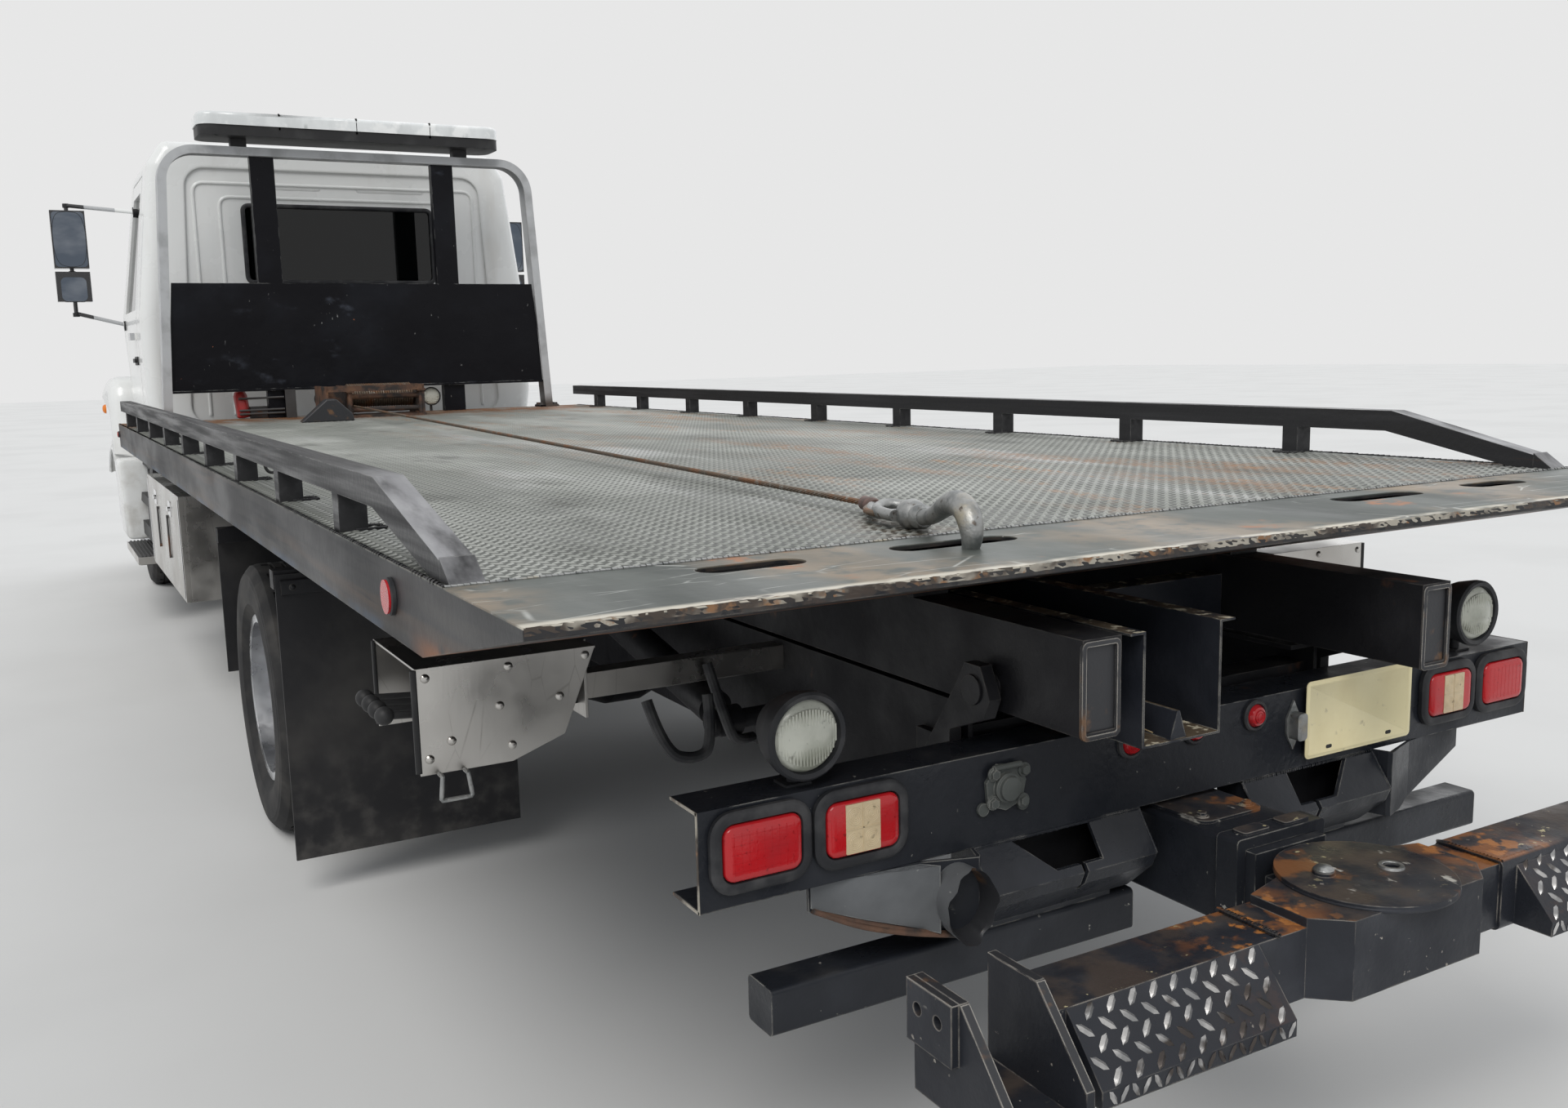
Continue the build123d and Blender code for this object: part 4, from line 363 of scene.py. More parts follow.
f = Finish("beacon_clear", (0.80, 0.82, 0.82), 0.25, coat=0.4)
f.mottle((0.68, 0.70, 0.70), 5, 0.45, 0.62, (1, 1, 0.4)).mottle((0.90, 0.91, 0.90), 8, 0.52, 0.64)
f.paint((0.34, 0.37, 0.36), f.noise(6, 0.60, 0.66, (1, 1, 0.3)), f.along(2, 2.726, 2.700), 0.6)
beacon_clear = f.grain(14, 0.12, 0.0012, stretch=(5, 1, 0.3)).mat


def glass(name, tint):
    return Finish(name, tint, 0.02, clear=0.85, ior=1.45, specular=0.25) \
        .mottle([c * 0.6 for c in tint], 2, 0.4, 0.8).uneven(8, 0.01, 0.06, cut=(0.4, 0.8)).mat


# painted shade: the cab's glass is tinted near black so that it stands in for the dark, shaded inside of the
# cab
cab_glass = glass("cab_glass_painted_shade", (0.010, 0.013, 0.013))
headlamp_glass = glass("headlamp_glass", (0.82, 0.84, 0.84))

for mat, names in (
    (frame_black, "frame_rails crossmembers outriggers deck_sills front_axle rear_axle leaf_springs"),
    (frame_black, "subframe knuckle_left knuckle_right tilt_cylinder_barrels lift_cylinder_barrel"),
    (bar_black, "light_bar underride_bar boom stinger"),
    (lift_black, "crossbar"),
    (trough_black, "hose_trough"),
    (guard_black, "side_guards"),
    (board_black, "headboard"),
    (iron, "powertrain exhaust"),
    (rusty_edge, "winch"),
    (bright_alloy, "fuel_tank rim_front_left rim_front_right rims_rear_left rims_rear_right"),
    (chrome, "front_bumper tilt_cylinder_rods lift_cylinder_rod"),
    (rope_steel, "winch_line"),
    (stainless, "toolboxes control_stations toolbox_door_left toolbox_door_right"),
    (cab_white, "cab_shell hood"),
    (door_white, "door_left door_right"),
    (tread_valley, "deck"),
    (cab_glass, "cab_glass door_glass_left door_glass_right"),
    (headlamp_glass, "headlamps"),
    (dark_plastic, "cab_interior cab_steps control_levers work_lamps grille beacon_bar"),
    (red_lens, "tail_lamps deck_lamps"),
    (flap_rubber, "mud_flaps"),
    (tyre_rubber, "tyre_front_left tyre_front_right tyres_rear_left tyres_rear_right"),
):
    for name in names.split():
        nodes[name].data.materials.clear()
        nodes[name].data.materials.append(mat)


# Making shapes

def box(bm, low, high):
    """A block between two corners."""
    size = [b - a for a, b in zip(low, high)]
    middle = [(a + b) / 2 for a, b in zip(low, high)]
    return bmesh.ops.create_cube(bm, matrix=Matrix.Translation(middle) @ Matrix.Diagonal((*size, 1)))["verts"]


def round_edges(bm, edges, radius, segments):
    bmesh.ops.bevel(bm, geom=list(edges), offset=radius, segments=segments, profile=0.5, affect="EDGES",
                    material=-1)


def bar(bm, start, end, radius, end_radius=None, sides=16):
    """A round bar between two points, tapered where it has an end radius."""
    start, end = Vector(start), Vector(end)
    turn = (end - start).to_track_quat("Z", "Y").to_matrix().to_4x4()
    return bmesh.ops.create_cone(
        bm, cap_ends=True, segments=sides, radius1=radius,
        radius2=radius if end_radius is None else end_radius, depth=(end - start).length,
        matrix=Matrix.Translation((start + end) / 2) @ turn)["verts"]


def rounded_block(bm, low, high, radius, along=1, segments=5):
    """A block whose four edges along one axis are rounded."""
    edges = {e for v in box(bm, low, high) for e in v.link_edges
             if abs((e.verts[0].co - e.verts[1].co)[along]) > 1e-6}
    round_edges(bm, edges, radius, segments)


def side_block(bm, side, x, y, z, radius, along):
    """A rounded block whose X range is given for the right side, put on one side."""
    low, high = sorted((side * x[0], side * x[1]))
    rounded_block(bm, (low, y[0], z[0]), (high, y[1], z[1]), radius, along)


def plate(bm, outline, thickness):
    """A flat plate: a closed outline of points, thickened by a vector."""
    face = bm.faces.new([bm.verts.new(point) for point in outline])
    made = bmesh.ops.extrude_face_region(bm, geom=[face])
    moved = [v for v in made["geom"] if isinstance(v, bmesh.types.BMVert)]
    bmesh.ops.translate(bm, verts=moved, vec=thickness)


def turned(bm, profile, centre, axis, steps=32):
    """A profile of (distance along the axis, radius) points, spun about the axis."""
    centre, axis = Vector(centre), Vector(axis).normalized()
    out = axis.orthogonal().normalized()
    verts = [bm.verts.new(centre + axis * d + out * r) for d, r in profile]
    edges = [bm.edges.new(pair) for pair in zip(verts, verts[1:])]
    bmesh.ops.spin(bm, geom=verts + edges, cent=centre, axis=axis, angle=2 * math.pi, steps=steps,
                   use_merge=True)


def face_towards(bm, direction):
    """The largest face that faces a direction."""
    bm.normal_update()
    direction = Vector(direction).normalized()
    return max(bm.faces, key=lambda face: face.calc_area() * max(face.normal.dot(direction), 0) ** 8)


def step_face(bm, face, steps):
    """Insets a face and moves it along its normal, once for each (inset, move) pair."""
    for inset, move in steps:
        normal = face.normal.copy()
        if inset:
            bmesh.ops.inset_region(bm, faces=[face], thickness=inset, use_even_offset=True)
        bmesh.ops.translate(bm, verts=face.verts[:], vec=normal * move)
    return face


def mesh_of(bm, name="unit", clean=True):
    """The finished mesh of a shape, as a piece or to be stamped several times."""
    if clean:
        bmesh.ops.remove_doubles(bm, verts=bm.verts, dist=1e-6)
        bmesh.ops.recalc_face_normals(bm, faces=bm.faces)
    mesh = bpy.data.meshes.new(name)
    bm.to_mesh(mesh)
    bm.free()
    return mesh


def stamp(bm, mesh, *matrices):
    """Copies of a unit mesh, one for each matrix."""
    for matrix in matrices:
        before = set(bm.verts)
        bm.from_mesh(mesh)
        bmesh.ops.transform(bm, matrix=matrix, verts=[v for v in bm.verts if v not in before])


def circle(centre, across, up, count=8):
    """Points round a centre, by two radii given as vectors."""
    turns = [math.tau * i / count for i in range(count)]
    return [Vector(centre) + Vector(across) * math.cos(a) + Vector(up) * math.sin(a) for a in turns]


def on_plane(axis, level, *points):
    """Points given by two coordinates each, on the plane at a level of the third."""
    return [(*point[:axis], level, *point[axis:]) for point in points]


def at(x, y, z):
    return Matrix.Translation((x, y, z))


def towards(x, y, z, direction):
    """A place whose Z axis points along a direction."""
    return at(x, y, z) @ Vector(direction).to_track_quat("Z", "Y").to_matrix().to_4x4()


def put(mesh, name, body, mat, sharp=35):
    """Shows a mesh that is drawn from the tail, as a piece that rides on a body."""
    mesh.name = name
    mesh.transform(Matrix.Translation((0, BAR_Y, 0)))
    mesh.materials.clear()
    mesh.materials.append(mat)
    mesh.shade_smooth()
    mesh.set_sharp_from_angle(angle=math.radians(sharp))
    obj = bpy.data.objects.new(name, mesh)
    scene.collection.objects.link(obj)
    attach(obj, body)
    return obj


def piece(name, bm, body, mat, sharp=35, bevel=0.0, segments=2):
    obj = put(mesh_of(bm, name), name, body, mat, sharp)
    if bevel:
        modifier = obj.modifiers.new("edge", "BEVEL")
        modifier.width = bevel
        modifier.segments = segments
        modifier.limit_method = "ANGLE"
    return obj


def bent_mesh(routes, radius, order=3, radii=None, resolution=8, depth=3, closed=False):
    """The mesh of round stock along one or more smooth routes."""
    curve = bpy.data.curves.new("route", "CURVE")
    curve.dimensions = "3D"
    curve.bevel_depth = radius
    curve.bevel_resolution = depth
    curve.use_fill_caps = True
    for route in routes:
        spline = curve.splines.new("NURBS")
        spline.points.add(len(route) - 1)
        for i, point in enumerate(route):
            spline.points[i].co = (*point, 1)
            if radii:
                spline.points[i].radius = radii[i]
        spline.use_endpoint_u = not closed
        spline.use_cyclic_u = closed
        spline.order_u = order
        spline.resolution_u = resolution
    holder = bpy.data.objects.new("route", curve)
    mesh = bpy.data.meshes.new_from_object(holder)
    bpy.data.objects.remove(holder)
    bpy.data.curves.remove(curve)
    return mesh


def bolt_unit(radius, height, washer=1.35, sides=6):
    bm = bmesh.new()
    if washer:
        bar(bm, (0, 0, -0.001), (0, 0, height * 0.25), radius * washer, sides=16)
    bar(bm, (0, 0, 0), (0, 0, height), radius, radius * 0.94, sides=sides)
    return mesh_of(bm)


def dome_unit(radius, height):
    bm = bmesh.new()
    turned(bm, [(-0.001, 0), (-0.001, radius), (height * 0.25, radius), (height * 0.75, radius * 0.72),
                (height, radius * 0.25), (height, 0)], (0, 0, 0), (0, 0, 1), steps=16)
    return mesh_of(bm)


hex_small = bolt_unit(0.009, 0.008)
hex_large = bolt_unit(0.015, 0.013)
dome_small = dome_unit(0.008, 0.005)
dome_large = dome_unit(0.013, 0.008)

# Deck: raised tread in two directions

PITCH = 0.0305


def lug(bm, angle):
    """One raised tread mark: a long pointed bar with a ridge."""
    turn = Matrix.Rotation(angle, 3, "Z")
    rim = [bm.verts.new(turn @ Vector(p)) for p in (
        (-0.0125, 0, 0), (-0.006, 0.0042, 0), (0.006, 0.0042, 0), (0.0125, 0, 0), (0.006, -0.0042, 0),
        (-0.006, -0.0042, 0))]
    ridge = [bm.verts.new(turn @ Vector(p)) for p in ((-0.0075, 0, 0.0017), (0.0075, 0, 0.0017))]
    for corners in ((0, 5, 6), (0, 6, 1), (3, 2, 7), (3, 7, 4), (1, 6, 7, 2), (4, 7, 6, 5)):
        bm.faces.new([(rim + ridge)[i] for i in corners])


rows_y = int((DECK_FRONT_Y - TREAD_Y - 0.03) / PITCH)
columns = int((2 * DECK_HALF - 0.03) / PITCH)
per_piece = rows_y // 3
for i in range(3):
    bm = bmesh.new()
    lug(bm, math.radians(45))
    stop = len(bm.verts)
    lug(bm, math.radians(-45))
    bm.verts.ensure_lookup_table()
    bmesh.ops.translate(bm, verts=bm.verts[stop:], vec=(PITCH / 2, PITCH / 2, 0))
    first = (-columns * PITCH / 2 + 0.004, TREAD_Y + 0.024 + i * per_piece * PITCH, DECK_TOP)
    bmesh.ops.translate(bm, verts=bm.verts, vec=first)
    obj = put(mesh_of(bm, clean=False), f"deck_tread_{i + 1}", "deck", tread_crown, sharp=60)
    count_y = per_piece if i < 2 else rows_y - 2 * per_piece
    for axis, count in ((0, columns), (1, count_y)):
        array = obj.modifiers.new("rows", "ARRAY")
        array.use_relative_offset = False
        array.use_constant_offset = True
        array.constant_offset_displace = [PITCH if axis == n else 0 for n in range(3)]
        array.count = count

# Deck: weld bead ahead of the tail plate, and the worn lip at the very end


def weld_bead(bm, start, end, radius, ripple=0.006):
    """A bead of overlapping ripples between two points, half sunk."""
    start, end = Vector(start), Vector(end)
    count = max(2, int((end - start).length / ripple))
    step = (end - start) / count
    turn = step.to_track_quat("Z", "Y").to_matrix().to_4x4()
    rng = random.Random(count)
    for i in range(count):
        middle = start + step * (i + 0.5)
        grow = rng.uniform(0.85, 1.15)
        bmesh.ops.create_cone(bm, cap_ends=False, segments=6, radius1=radius * grow,
                              radius2=radius * 0.55 * grow, depth=step.length * 1.5,
                              matrix=Matrix.Translation(middle) @ turn)


bm = bmesh.new()
weld_bead(bm, (-DECK_HALF + 0.004, TREAD_Y, DECK_TOP), (DECK_HALF - 0.004, TREAD_Y, DECK_TOP), 0.0035, 0.009)
piece("tail_weld", bm, "deck", forged_steel)

bm = bmesh.new()
bmesh.ops.create_grid(bm, x_segments=320, y_segments=3, size=0.5)
rng = random.Random(7)
for v in bm.verts:
    across = v.co.y + 0.5
    v.co = Vector((v.co.x * 2 * (DECK_HALF - 0.001), TAIL_Y + 0.0004 - 0.0010 * rng.random(),
                   DECK_TOP + 0.0004 - 0.0105 * across + rng.uniform(-0.0006, 0.0006)))
piece("tail_lip", bm, "deck", bare_edge, sharp=80)


# Side lamps and markers on the deck's channels
LAMP_Y, MARKER_Y, MARKER_Z = 0.411, 6.36, 1.094
for name, side in SIDES:
    bm = bmesh.new()
    turned(bm, [(0, 0.030), (0.006, 0.030), (0.008, 0.027), (0.005, 0.025)],
           (side * (DECK_HALF + 0.0005), LAMP_Y, MARKER_Z), (side, 0, 0))
    turned(bm, [(0, 0.017), (0.006, 0.017), (0.008, 0.015), (0.005, 0.0135)],
           (side * (DECK_HALF + 0.0005), MARKER_Y, MARKER_Z), (side, 0, 0))
    piece(f"side_lamp_rims_{name}", bm, "deck", lamp_rubber)
    bm = bmesh.new()
    turned(bm, [(0.004, 0.0135), (0.010, 0.012), (0.0125, 0.006), (0.013, 0)],
           (side * DECK_HALF, MARKER_Y, MARKER_Z), (side, 0, 0))
    piece(f"amber_marker_{name}", bm, "deck", amber_lens)

# Rear light bar: grommets, lenses, plate, plate lamp and socket

OUTER_X, INNER_X, LAMP_Z = 0.8845, 0.7100, 0.736
LENS_W, LENS_H = 0.132, 0.088
ROUND_LAMPS = on_plane(1, 0.001, (-0.153, 0.772), (0, 0.772), (0.153, 0.772))


def grommet_unit(width, height, margin, corner):
    """A raised rubber frame round a lens opening, seen from the rear."""
    bm = bmesh.new()
    rounded_block(bm, (-width / 2 - margin, -0.004, -height / 2 - margin),
                  (width / 2 + margin, 0.004, height / 2 + margin), corner + margin, segments=6)
    face = face_towards(bm, (0, -1, 0))
    step_face(bm, face, [(0.003, 0.003), (0.003, 0.0015), (margin - 0.011, 0), (0.003, -0.001),
                         (0.002, -0.007)])
    bmesh.ops.delete(bm, geom=[face], context="FACES_ONLY")
    return mesh_of(bm)


def lens_unit(width, height, corner, depth=0.006):
    bm = bmesh.new()
    rounded_block(bm, (-width / 2, -0.002, -height / 2), (width / 2, 0.004, height / 2), corner, segments=6)
    step_face(bm, face_towards(bm, (0, -1, 0)), [(0.002, depth * 0.5), (0.003, depth * 0.3),
                                                 (0.008, depth * 0.2)])
    return mesh_of(bm)


square_lamps = (-OUTER_X, -INNER_X, INNER_X, OUTER_X)
bm = bmesh.new()
stamp(bm, grommet_unit(LENS_W, LENS_H, 0.019, 0.018), *[at(x, -0.006, LAMP_Z) for x in square_lamps])
piece("lamp_grommets", bm, "chassis", lamp_rubber)
bm = bmesh.new()
stamp(bm, lens_unit(LENS_W - 0.002, LENS_H - 0.002, 0.017), *[at(x, -0.0105, LAMP_Z) for x in square_lamps])
lenses = piece("square_lenses", bm, "chassis", red_lens)

# a grid of ribs in the outer lenses, and cream squares with rings in the inner ones
bm = bmesh.new()
for x in (-OUTER_X, OUTER_X):
    for i in range(-4, 5):
        rib = x + 0.0125 * i
        box(bm, (rib - 0.0004, -0.0187, LAMP_Z - 0.032), (rib + 0.0004, -0.0180, LAMP_Z + 0.032))
    for k in range(-2, 3):
        rib = LAMP_Z + 0.0135 * k
        box(bm, (x - 0.054, -0.0187, rib - 0.0004), (x + 0.054, -0.0180, rib + 0.0004))
piece("lens_rings", bm, "chassis", red_lens)
bm = bmesh.new()
cream_at = INNER_X + 0.004
for x in (-cream_at, cream_at):
    rounded_block(bm, (x - 0.031, -0.0194, LAMP_Z - 0.039), (x + 0.031, -0.012, LAMP_Z + 0.039), 0.002)
piece("cream_squares", bm, "chassis", cream_lens)
bm = bmesh.new()
for x in (-cream_at, cream_at):
    for i in (-1, 1):
        for k in (-1, 1):
            for radius in (0.004, 0.007, 0.010, 0.013):
                turned(bm, [(0, radius), (0.0006, radius + 0.0008), (0, radius + 0.0016)],
                       (x + i * 0.0155, -0.0194, LAMP_Z + k * 0.0195), (0, -1, 0), steps=20)
    box(bm, (x - 0.0010, -0.0203, LAMP_Z - 0.038), (x + 0.0010, -0.0190, LAMP_Z + 0.038))
    box(bm, (x - 0.030, -0.0203, LAMP_Z - 0.0010), (x + 0.030, -0.0190, LAMP_Z + 0.0010))
piece("cream_rings", bm, "chassis", cream_lens)

bm = bmesh.new()
for spot in ROUND_LAMPS:
    turned(bm, [(0, 0.030), (0.006, 0.030), (0.009, 0.027), (0.009, 0.023), (0.004, 0.021)], spot, (0, -1, 0))
piece("round_grommets", bm, "chassis", lamp_rubber)
bm = bmesh.new()
for spot in ROUND_LAMPS:
    turned(bm, [(0, 0.021), (0.008, 0.021), (0.014, 0.017), (0.0165, 0.010), (0.017, 0)], spot, (0, -1, 0))
    for radius in (0.006, 0.011):
        turned(bm, [(0.0155, radius), (0.0178, radius + 0.001), (0.0150, radius + 0.002)], spot, (0, -1, 0),
               steps=24)
piece("round_lenses", bm, "chassis", red_lens)
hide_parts("tail_lamps")

bm = bmesh.new()
rounded_block(bm, (0.279, -0.014, 0.668), (0.584, -0.0125, 0.818), 0.010, segments=4)
face = face_towards(bm, (0, -1, 0))
step_face(bm, face, [(0.004, 0.0), (0.002, 0.0012), (0.002, 0.0), (0.002, -0.0012)])
piece("number_plate", bm, "chassis", plate_cream)
bm = bmesh.new()
for x in (0.345, 0.518):
    rounded_block(bm, (x - 0.008, -0.0146, 0.681), (x + 0.008, -0.0135, 0.688), 0.003)
piece("plate_slots", bm, "chassis", dark_plastic)
bm = bmesh.new()
box(bm, (0.30, -0.0125, 0.69), (0.565, 0.0, 0.80))
piece("plate_bracket", bm, "chassis", bar_black, bevel=0.002)

bm = bmesh.new()
plate(bm, on_plane(1, -0.0005, (0.238, 0.722), (0.256, 0.690), (0.274, 0.722), (0.274, 0.752), (0.256, 0.786),
                   (0.238, 0.752)), (0, -0.004, 0))
rounded_block(bm, (0.243, -0.026, 0.712), (0.269, -0.004, 0.764), 0.008, segments=4)
piece("plate_lamp", bm, "chassis", forged_steel)

bm = bmesh.new()
plate(bm, on_plane(1, -0.0005, (-0.466, 0.718), (-0.430, 0.704), (-0.396, 0.716), (-0.388, 0.750),
                   (-0.404, 0.778), (-0.446, 0.784), (-0.470, 0.756)), (0, -0.007, 0))
turned(bm, [(0, 0.025), (0.008, 0.025), (0.010, 0.021), (0.016, 0.020), (0.019, 0.012), (0.019, 0.0)],
       (-0.430, -0.007, 0.744), (0, -1, 0))
bar(bm, (-0.458, -0.011, 0.780), (-0.402, -0.011, 0.780), 0.005)
for x, z in ((-0.474, 0.712), (-0.392, 0.708)):
    bar(bm, (x, 0, z), (x, -0.006, z), 0.011)
stamp(bm, hex_small, *[towards(x, -0.0085, z, (0, -1, 0)) for x, z in ((-0.458, 0.722), (-0.396, 0.716),
                                                                       (-0.394, 0.768), (-0.456, 0.770))])
piece("trailer_socket", bm, "chassis", socket_grey)

# Bare edges of the light bar's open left and right ends
bm = bmesh.new()
for side in (-1, 1):
    x = side * BAR_HALF
    for rear, front, low, high in ((-0.0006, 0.0045, 0.650, 0.804), (0, 0.090, 0.7995, 0.8045),
                                   (0, 0.090, 0.6495, 0.6545)):
        box(bm, (x - 0.0006, rear, low), (x + 0.0006, front, high))
piece("bar_bare_edges", bm, "chassis", bare_edge)

# Work lamps
WORK_LAMP_X, WORK_LAMP_Z = 0.8, 0.888
bm = bmesh.new()
for x in (-WORK_LAMP_X, WORK_LAMP_X):
    turned(bm, [(0.090, 0.0), (0.088, 0.026), (0.075, 0.044), (0.040, 0.060), (0.006, 0.068), (-0.006, 0.068),
                (-0.010, 0.064), (-0.008, 0.057), (0.002, 0.055)], (x, 0.002, WORK_LAMP_Z), (0, 1, 0),
                steps=40)
    bar(bm, (x, 0.045, 0.804), (x, 0.045, 0.845), 0.010)
    box(bm, (x - 0.022, 0.025, 0.802), (x + 0.022, 0.065, 0.808))
housings = piece("work_lamp_housings", bm, "chassis", lamp_rubber)
bm = bmesh.new()
for x in (-WORK_LAMP_X, WORK_LAMP_X):
    turned(bm, [(0.004, 0.056), (-0.004, 0.050), (-0.010, 0.034), (-0.0125, 0.016), (-0.013, 0)],
           (x, 0.0, WORK_LAMP_Z), (0, 1, 0), steps=40)
    for i in range(-9, 10):
        dx = i * 0.0054
        high = math.sqrt(0.051 ** 2 - dx ** 2)
        bmesh.ops.create_cone(bm, cap_ends=False, segments=8, radius1=0.0021, radius2=0.0021,
                              depth=1.7 * high, matrix=at(x + dx, -0.0105 + 3.2 * dx ** 2, WORK_LAMP_Z))
piece("work_lamp_lenses", bm, "chassis", clear_lens)
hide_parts("work_lamps")

# Winch rope: six strands about the line from winch to ferrule
ROPE_START, ROPE_END = Vector((-0.178, 5.98, 1.2127)), Vector((-0.402, 0.43, 1.168))
along = (ROPE_END - ROPE_START).normalized()
side_way = along.cross(Vector((0, 0, 1))).normalized()
up_way = side_way.cross(along)
length = (ROPE_END - ROPE_START).length
TURNS = 62
TURN_STEPS = 6
strands = []
for s in range(6):
    route = []
    for i in range(TURNS * TURN_STEPS + 1):
        angle = math.tau * (i / TURN_STEPS + s / 6)
        route.append(ROPE_START + along * (length * i / (TURNS * TURN_STEPS))
                     + (side_way * math.cos(angle) + up_way * math.sin(angle)) * 0.0043)
    strands.append(route)
rope = put(bent_mesh(strands, 0.0022, resolution=2, depth=1), "rope_strands", "deck", rope_steel,
           sharp=80)
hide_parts("winch_line")

# Ferrule, thimble with its rope eye, swivel and hook. They lie on the deck, turned a little to the left.
out_way = Vector((-0.115, -0.46, 0)).normalized()
left_way = Vector((out_way.y, -out_way.x, 0))
HOOK_Z = 1.168
ferrule_at = Vector((-0.402, 0.445, HOOK_Z))


def lies(along_out, aside, z):
    """A place on the line of the hook, aside to its right as seen from the winch."""
    return ferrule_at + out_way * along_out + left_way * aside + Vector((0, 0, z - HOOK_Z))


bm = bmesh.new()
turned(bm, [(-0.012, 0), (-0.012, 0.008), (-0.004, 0.0135), (0.045, 0.0150), (0.055, 0.0125), (0.055, 0)],
       ferrule_at, out_way, steps=20)
piece("rope_ferrule", bm, "deck", ferrule_brown)

loop_line = ((0.05, 0.004), (0.075, 0.016), (0.11, 0.030), (0.15, 0.034), (0.18, 0.022), (0.187, 0),
             (0.18, -0.022), (0.15, -0.034), (0.11, -0.030), (0.075, -0.016), (0.05, -0.004))
loop = [lies(d, a, HOOK_Z) for d, a in loop_line]
put(bent_mesh([loop], 0.0095, depth=4), "thimble", "deck", forged_steel)
eye_line = ((0.05, 0.004), (0.075, 0.017), (0.11, 0.031), (0.15, 0.036), (0.18, 0.024), (0.189, 0),
            (0.18, -0.024), (0.15, -0.036), (0.11, -0.031), (0.075, -0.017), (0.05, -0.004))
eye = [lies(0.050 + (d - 0.05) * 1.06, a * 1.3, 1.170) for d, a in eye_line]
put(bent_mesh([eye], 0.0058, depth=3), "rope_eye", "deck", rope_steel)

bow = [lies(d, a, z) for d, a, z in ((0.235, 0.028, 1.172), (0.19, 0.036, 1.172), (0.150, 0.032, 1.174),
                                     (0.132, 0.016, 1.178), (0.128, 0, 1.180), (0.132, -0.016, 1.178),
                                     (0.150, -0.032, 1.174), (0.19, -0.036, 1.172), (0.235, -0.028, 1.172))]
put(bent_mesh([bow], 0.0105, depth=4), "swivel_bow", "deck", forged_steel)
bm = bmesh.new()
turned(bm, [(-0.020, 0), (-0.020, 0.014), (-0.008, 0.024), (0.010, 0.027), (0.026, 0.024), (0.034, 0.016),
            (0.034, 0)], lies(0.235, 0, 1.174), out_way, steps=24)
turned(bm, [(-0.012, 0), (-0.012, 0.016), (-0.006, 0.021), (0.010, 0.021), (0.018, 0.016), (0.018, 0)],
       lies(0.285, 0, 1.175), out_way, steps=24)
piece("swivel_body", bm, "deck", forged_steel)

hook_line = [lies(d, 0, z) for d, z in ((0.290, 1.174), (0.325, 1.178), (0.365, 1.190), (0.405, 1.208),
                                        (0.445, 1.216), (0.482, 1.206), (0.502, 1.180), (0.500, 1.155),
                                        (0.484, 1.140), (0.462, 1.132))]
hook_radii = [1.0, 0.95, 1.05, 1.25, 1.4, 1.45, 1.3, 1.05, 0.75, 0.35]
put(bent_mesh([hook_line], 0.0145, radii=hook_radii, depth=5, resolution=12), "tow_hook", "deck",
    forged_steel)


# Wheel lift: raised tread on the steps, cam bolt and washer, beads and receiver edges


def turned_frame(centre, across, up_slope):
    """A place with its X and Y axes along two directions."""
    x, y = Vector(across).normalized(), Vector(up_slope).normalized()
    z = x.cross(y)
    return Matrix(((x.x, y.x, z.x, centre[0]), (x.y, y.y, z.y, centre[1]), (x.z, y.z, z.z, centre[2]),
                   (0, 0, 0, 1)))


def lug_unit(angle):
    bm = bmesh.new()
    lug(bm, math.radians(angle))
    return mesh_of(bm)


LUGS = (lug_unit(45), lug_unit(-45))


def fixings(name, body, mesh, direction, points, mat):
    """Bolts, nuts or rivets of one kind, all facing one way."""
    bm = bmesh.new()
    stamp(bm, mesh, *[towards(*point, direction) for point in points])
    piece(name, bm, body, mat)


SWIVEL_Y = -0.362
slope = Vector((0, 0.641, 0.767))
for name, side in SIDES:
    bm = bmesh.new()
    for i in range(9):
        for k in range(5):
            x = side * (0.322 + 0.038 * (i + 0.5 * (k % 2)))
            spot = Vector((x, -0.4875, 0.5145)) + slope * (0.013 + 0.0215 * k)
            stamp(bm, LUGS[k % 2], turned_frame(spot, (1, 0, 0), slope) @ Matrix.Diagonal((1.2, 1.2, 2.0, 1)))
    for i in range(18):
        x = side * (0.310 + 0.0195 * i)
        stamp(bm, LUGS[i % 2], turned_frame((x, -0.4875, 0.503), (1, 0, 0),
                                            (0, 0, 1)) @ Matrix.Diagonal((0.8, 1.2, 1.4, 1)))
    piece(f"step_tread_{name}", bm, "crossbar", tread_mark, sharp=60)
    # bright worn edges of the receiver plates
    bm = bmesh.new()
    for x in (0.684, 0.806, 0.820):
        wide = 0.014 if x < 0.82 else 0.012
        low, high = side * x, side * (x + wide)
        plate(bm, on_plane(2, 0.6402, (low, -0.402), (high, -0.402), (high, -0.302), (low, -0.302)),
              (0, 0, 0.0012))
        if x < 0.82:
            plate(bm, [(low, -0.4025, 0.6395), (high, -0.4025, 0.6395), (high, -0.4988, 0.531),
                       (low, -0.4988, 0.531)], (0, -0.0010, 0.0006))
    piece(f"receiver_edges_{name}", bm, "crossbar", trodden_black)

bm = bmesh.new()
stamp(bm, dome_large, at(-0.060, SWIVEL_Y + 0.030, 0.6298) @ Matrix.Diagonal((1.25, 1.25, 1.2, 1)))
turned(bm, [(0, 0.0125), (0.003, 0.0125), (0.004, 0.0135), (0.004, 0.019), (0.0, 0.0205)],
       (0.052, SWIVEL_Y - 0.008, 0.6238), (0, 0, 1))
piece("cam_bolt", bm, "crossbar", forged_steel)
ring = circle((0, SWIVEL_Y, 0.6165), (0.1335, 0, 0), (0, 0.1335, 0), 24)
put(bent_mesh([ring], 0.0045, closed=True, resolution=3), "cam_weld", "crossbar", lift_black)

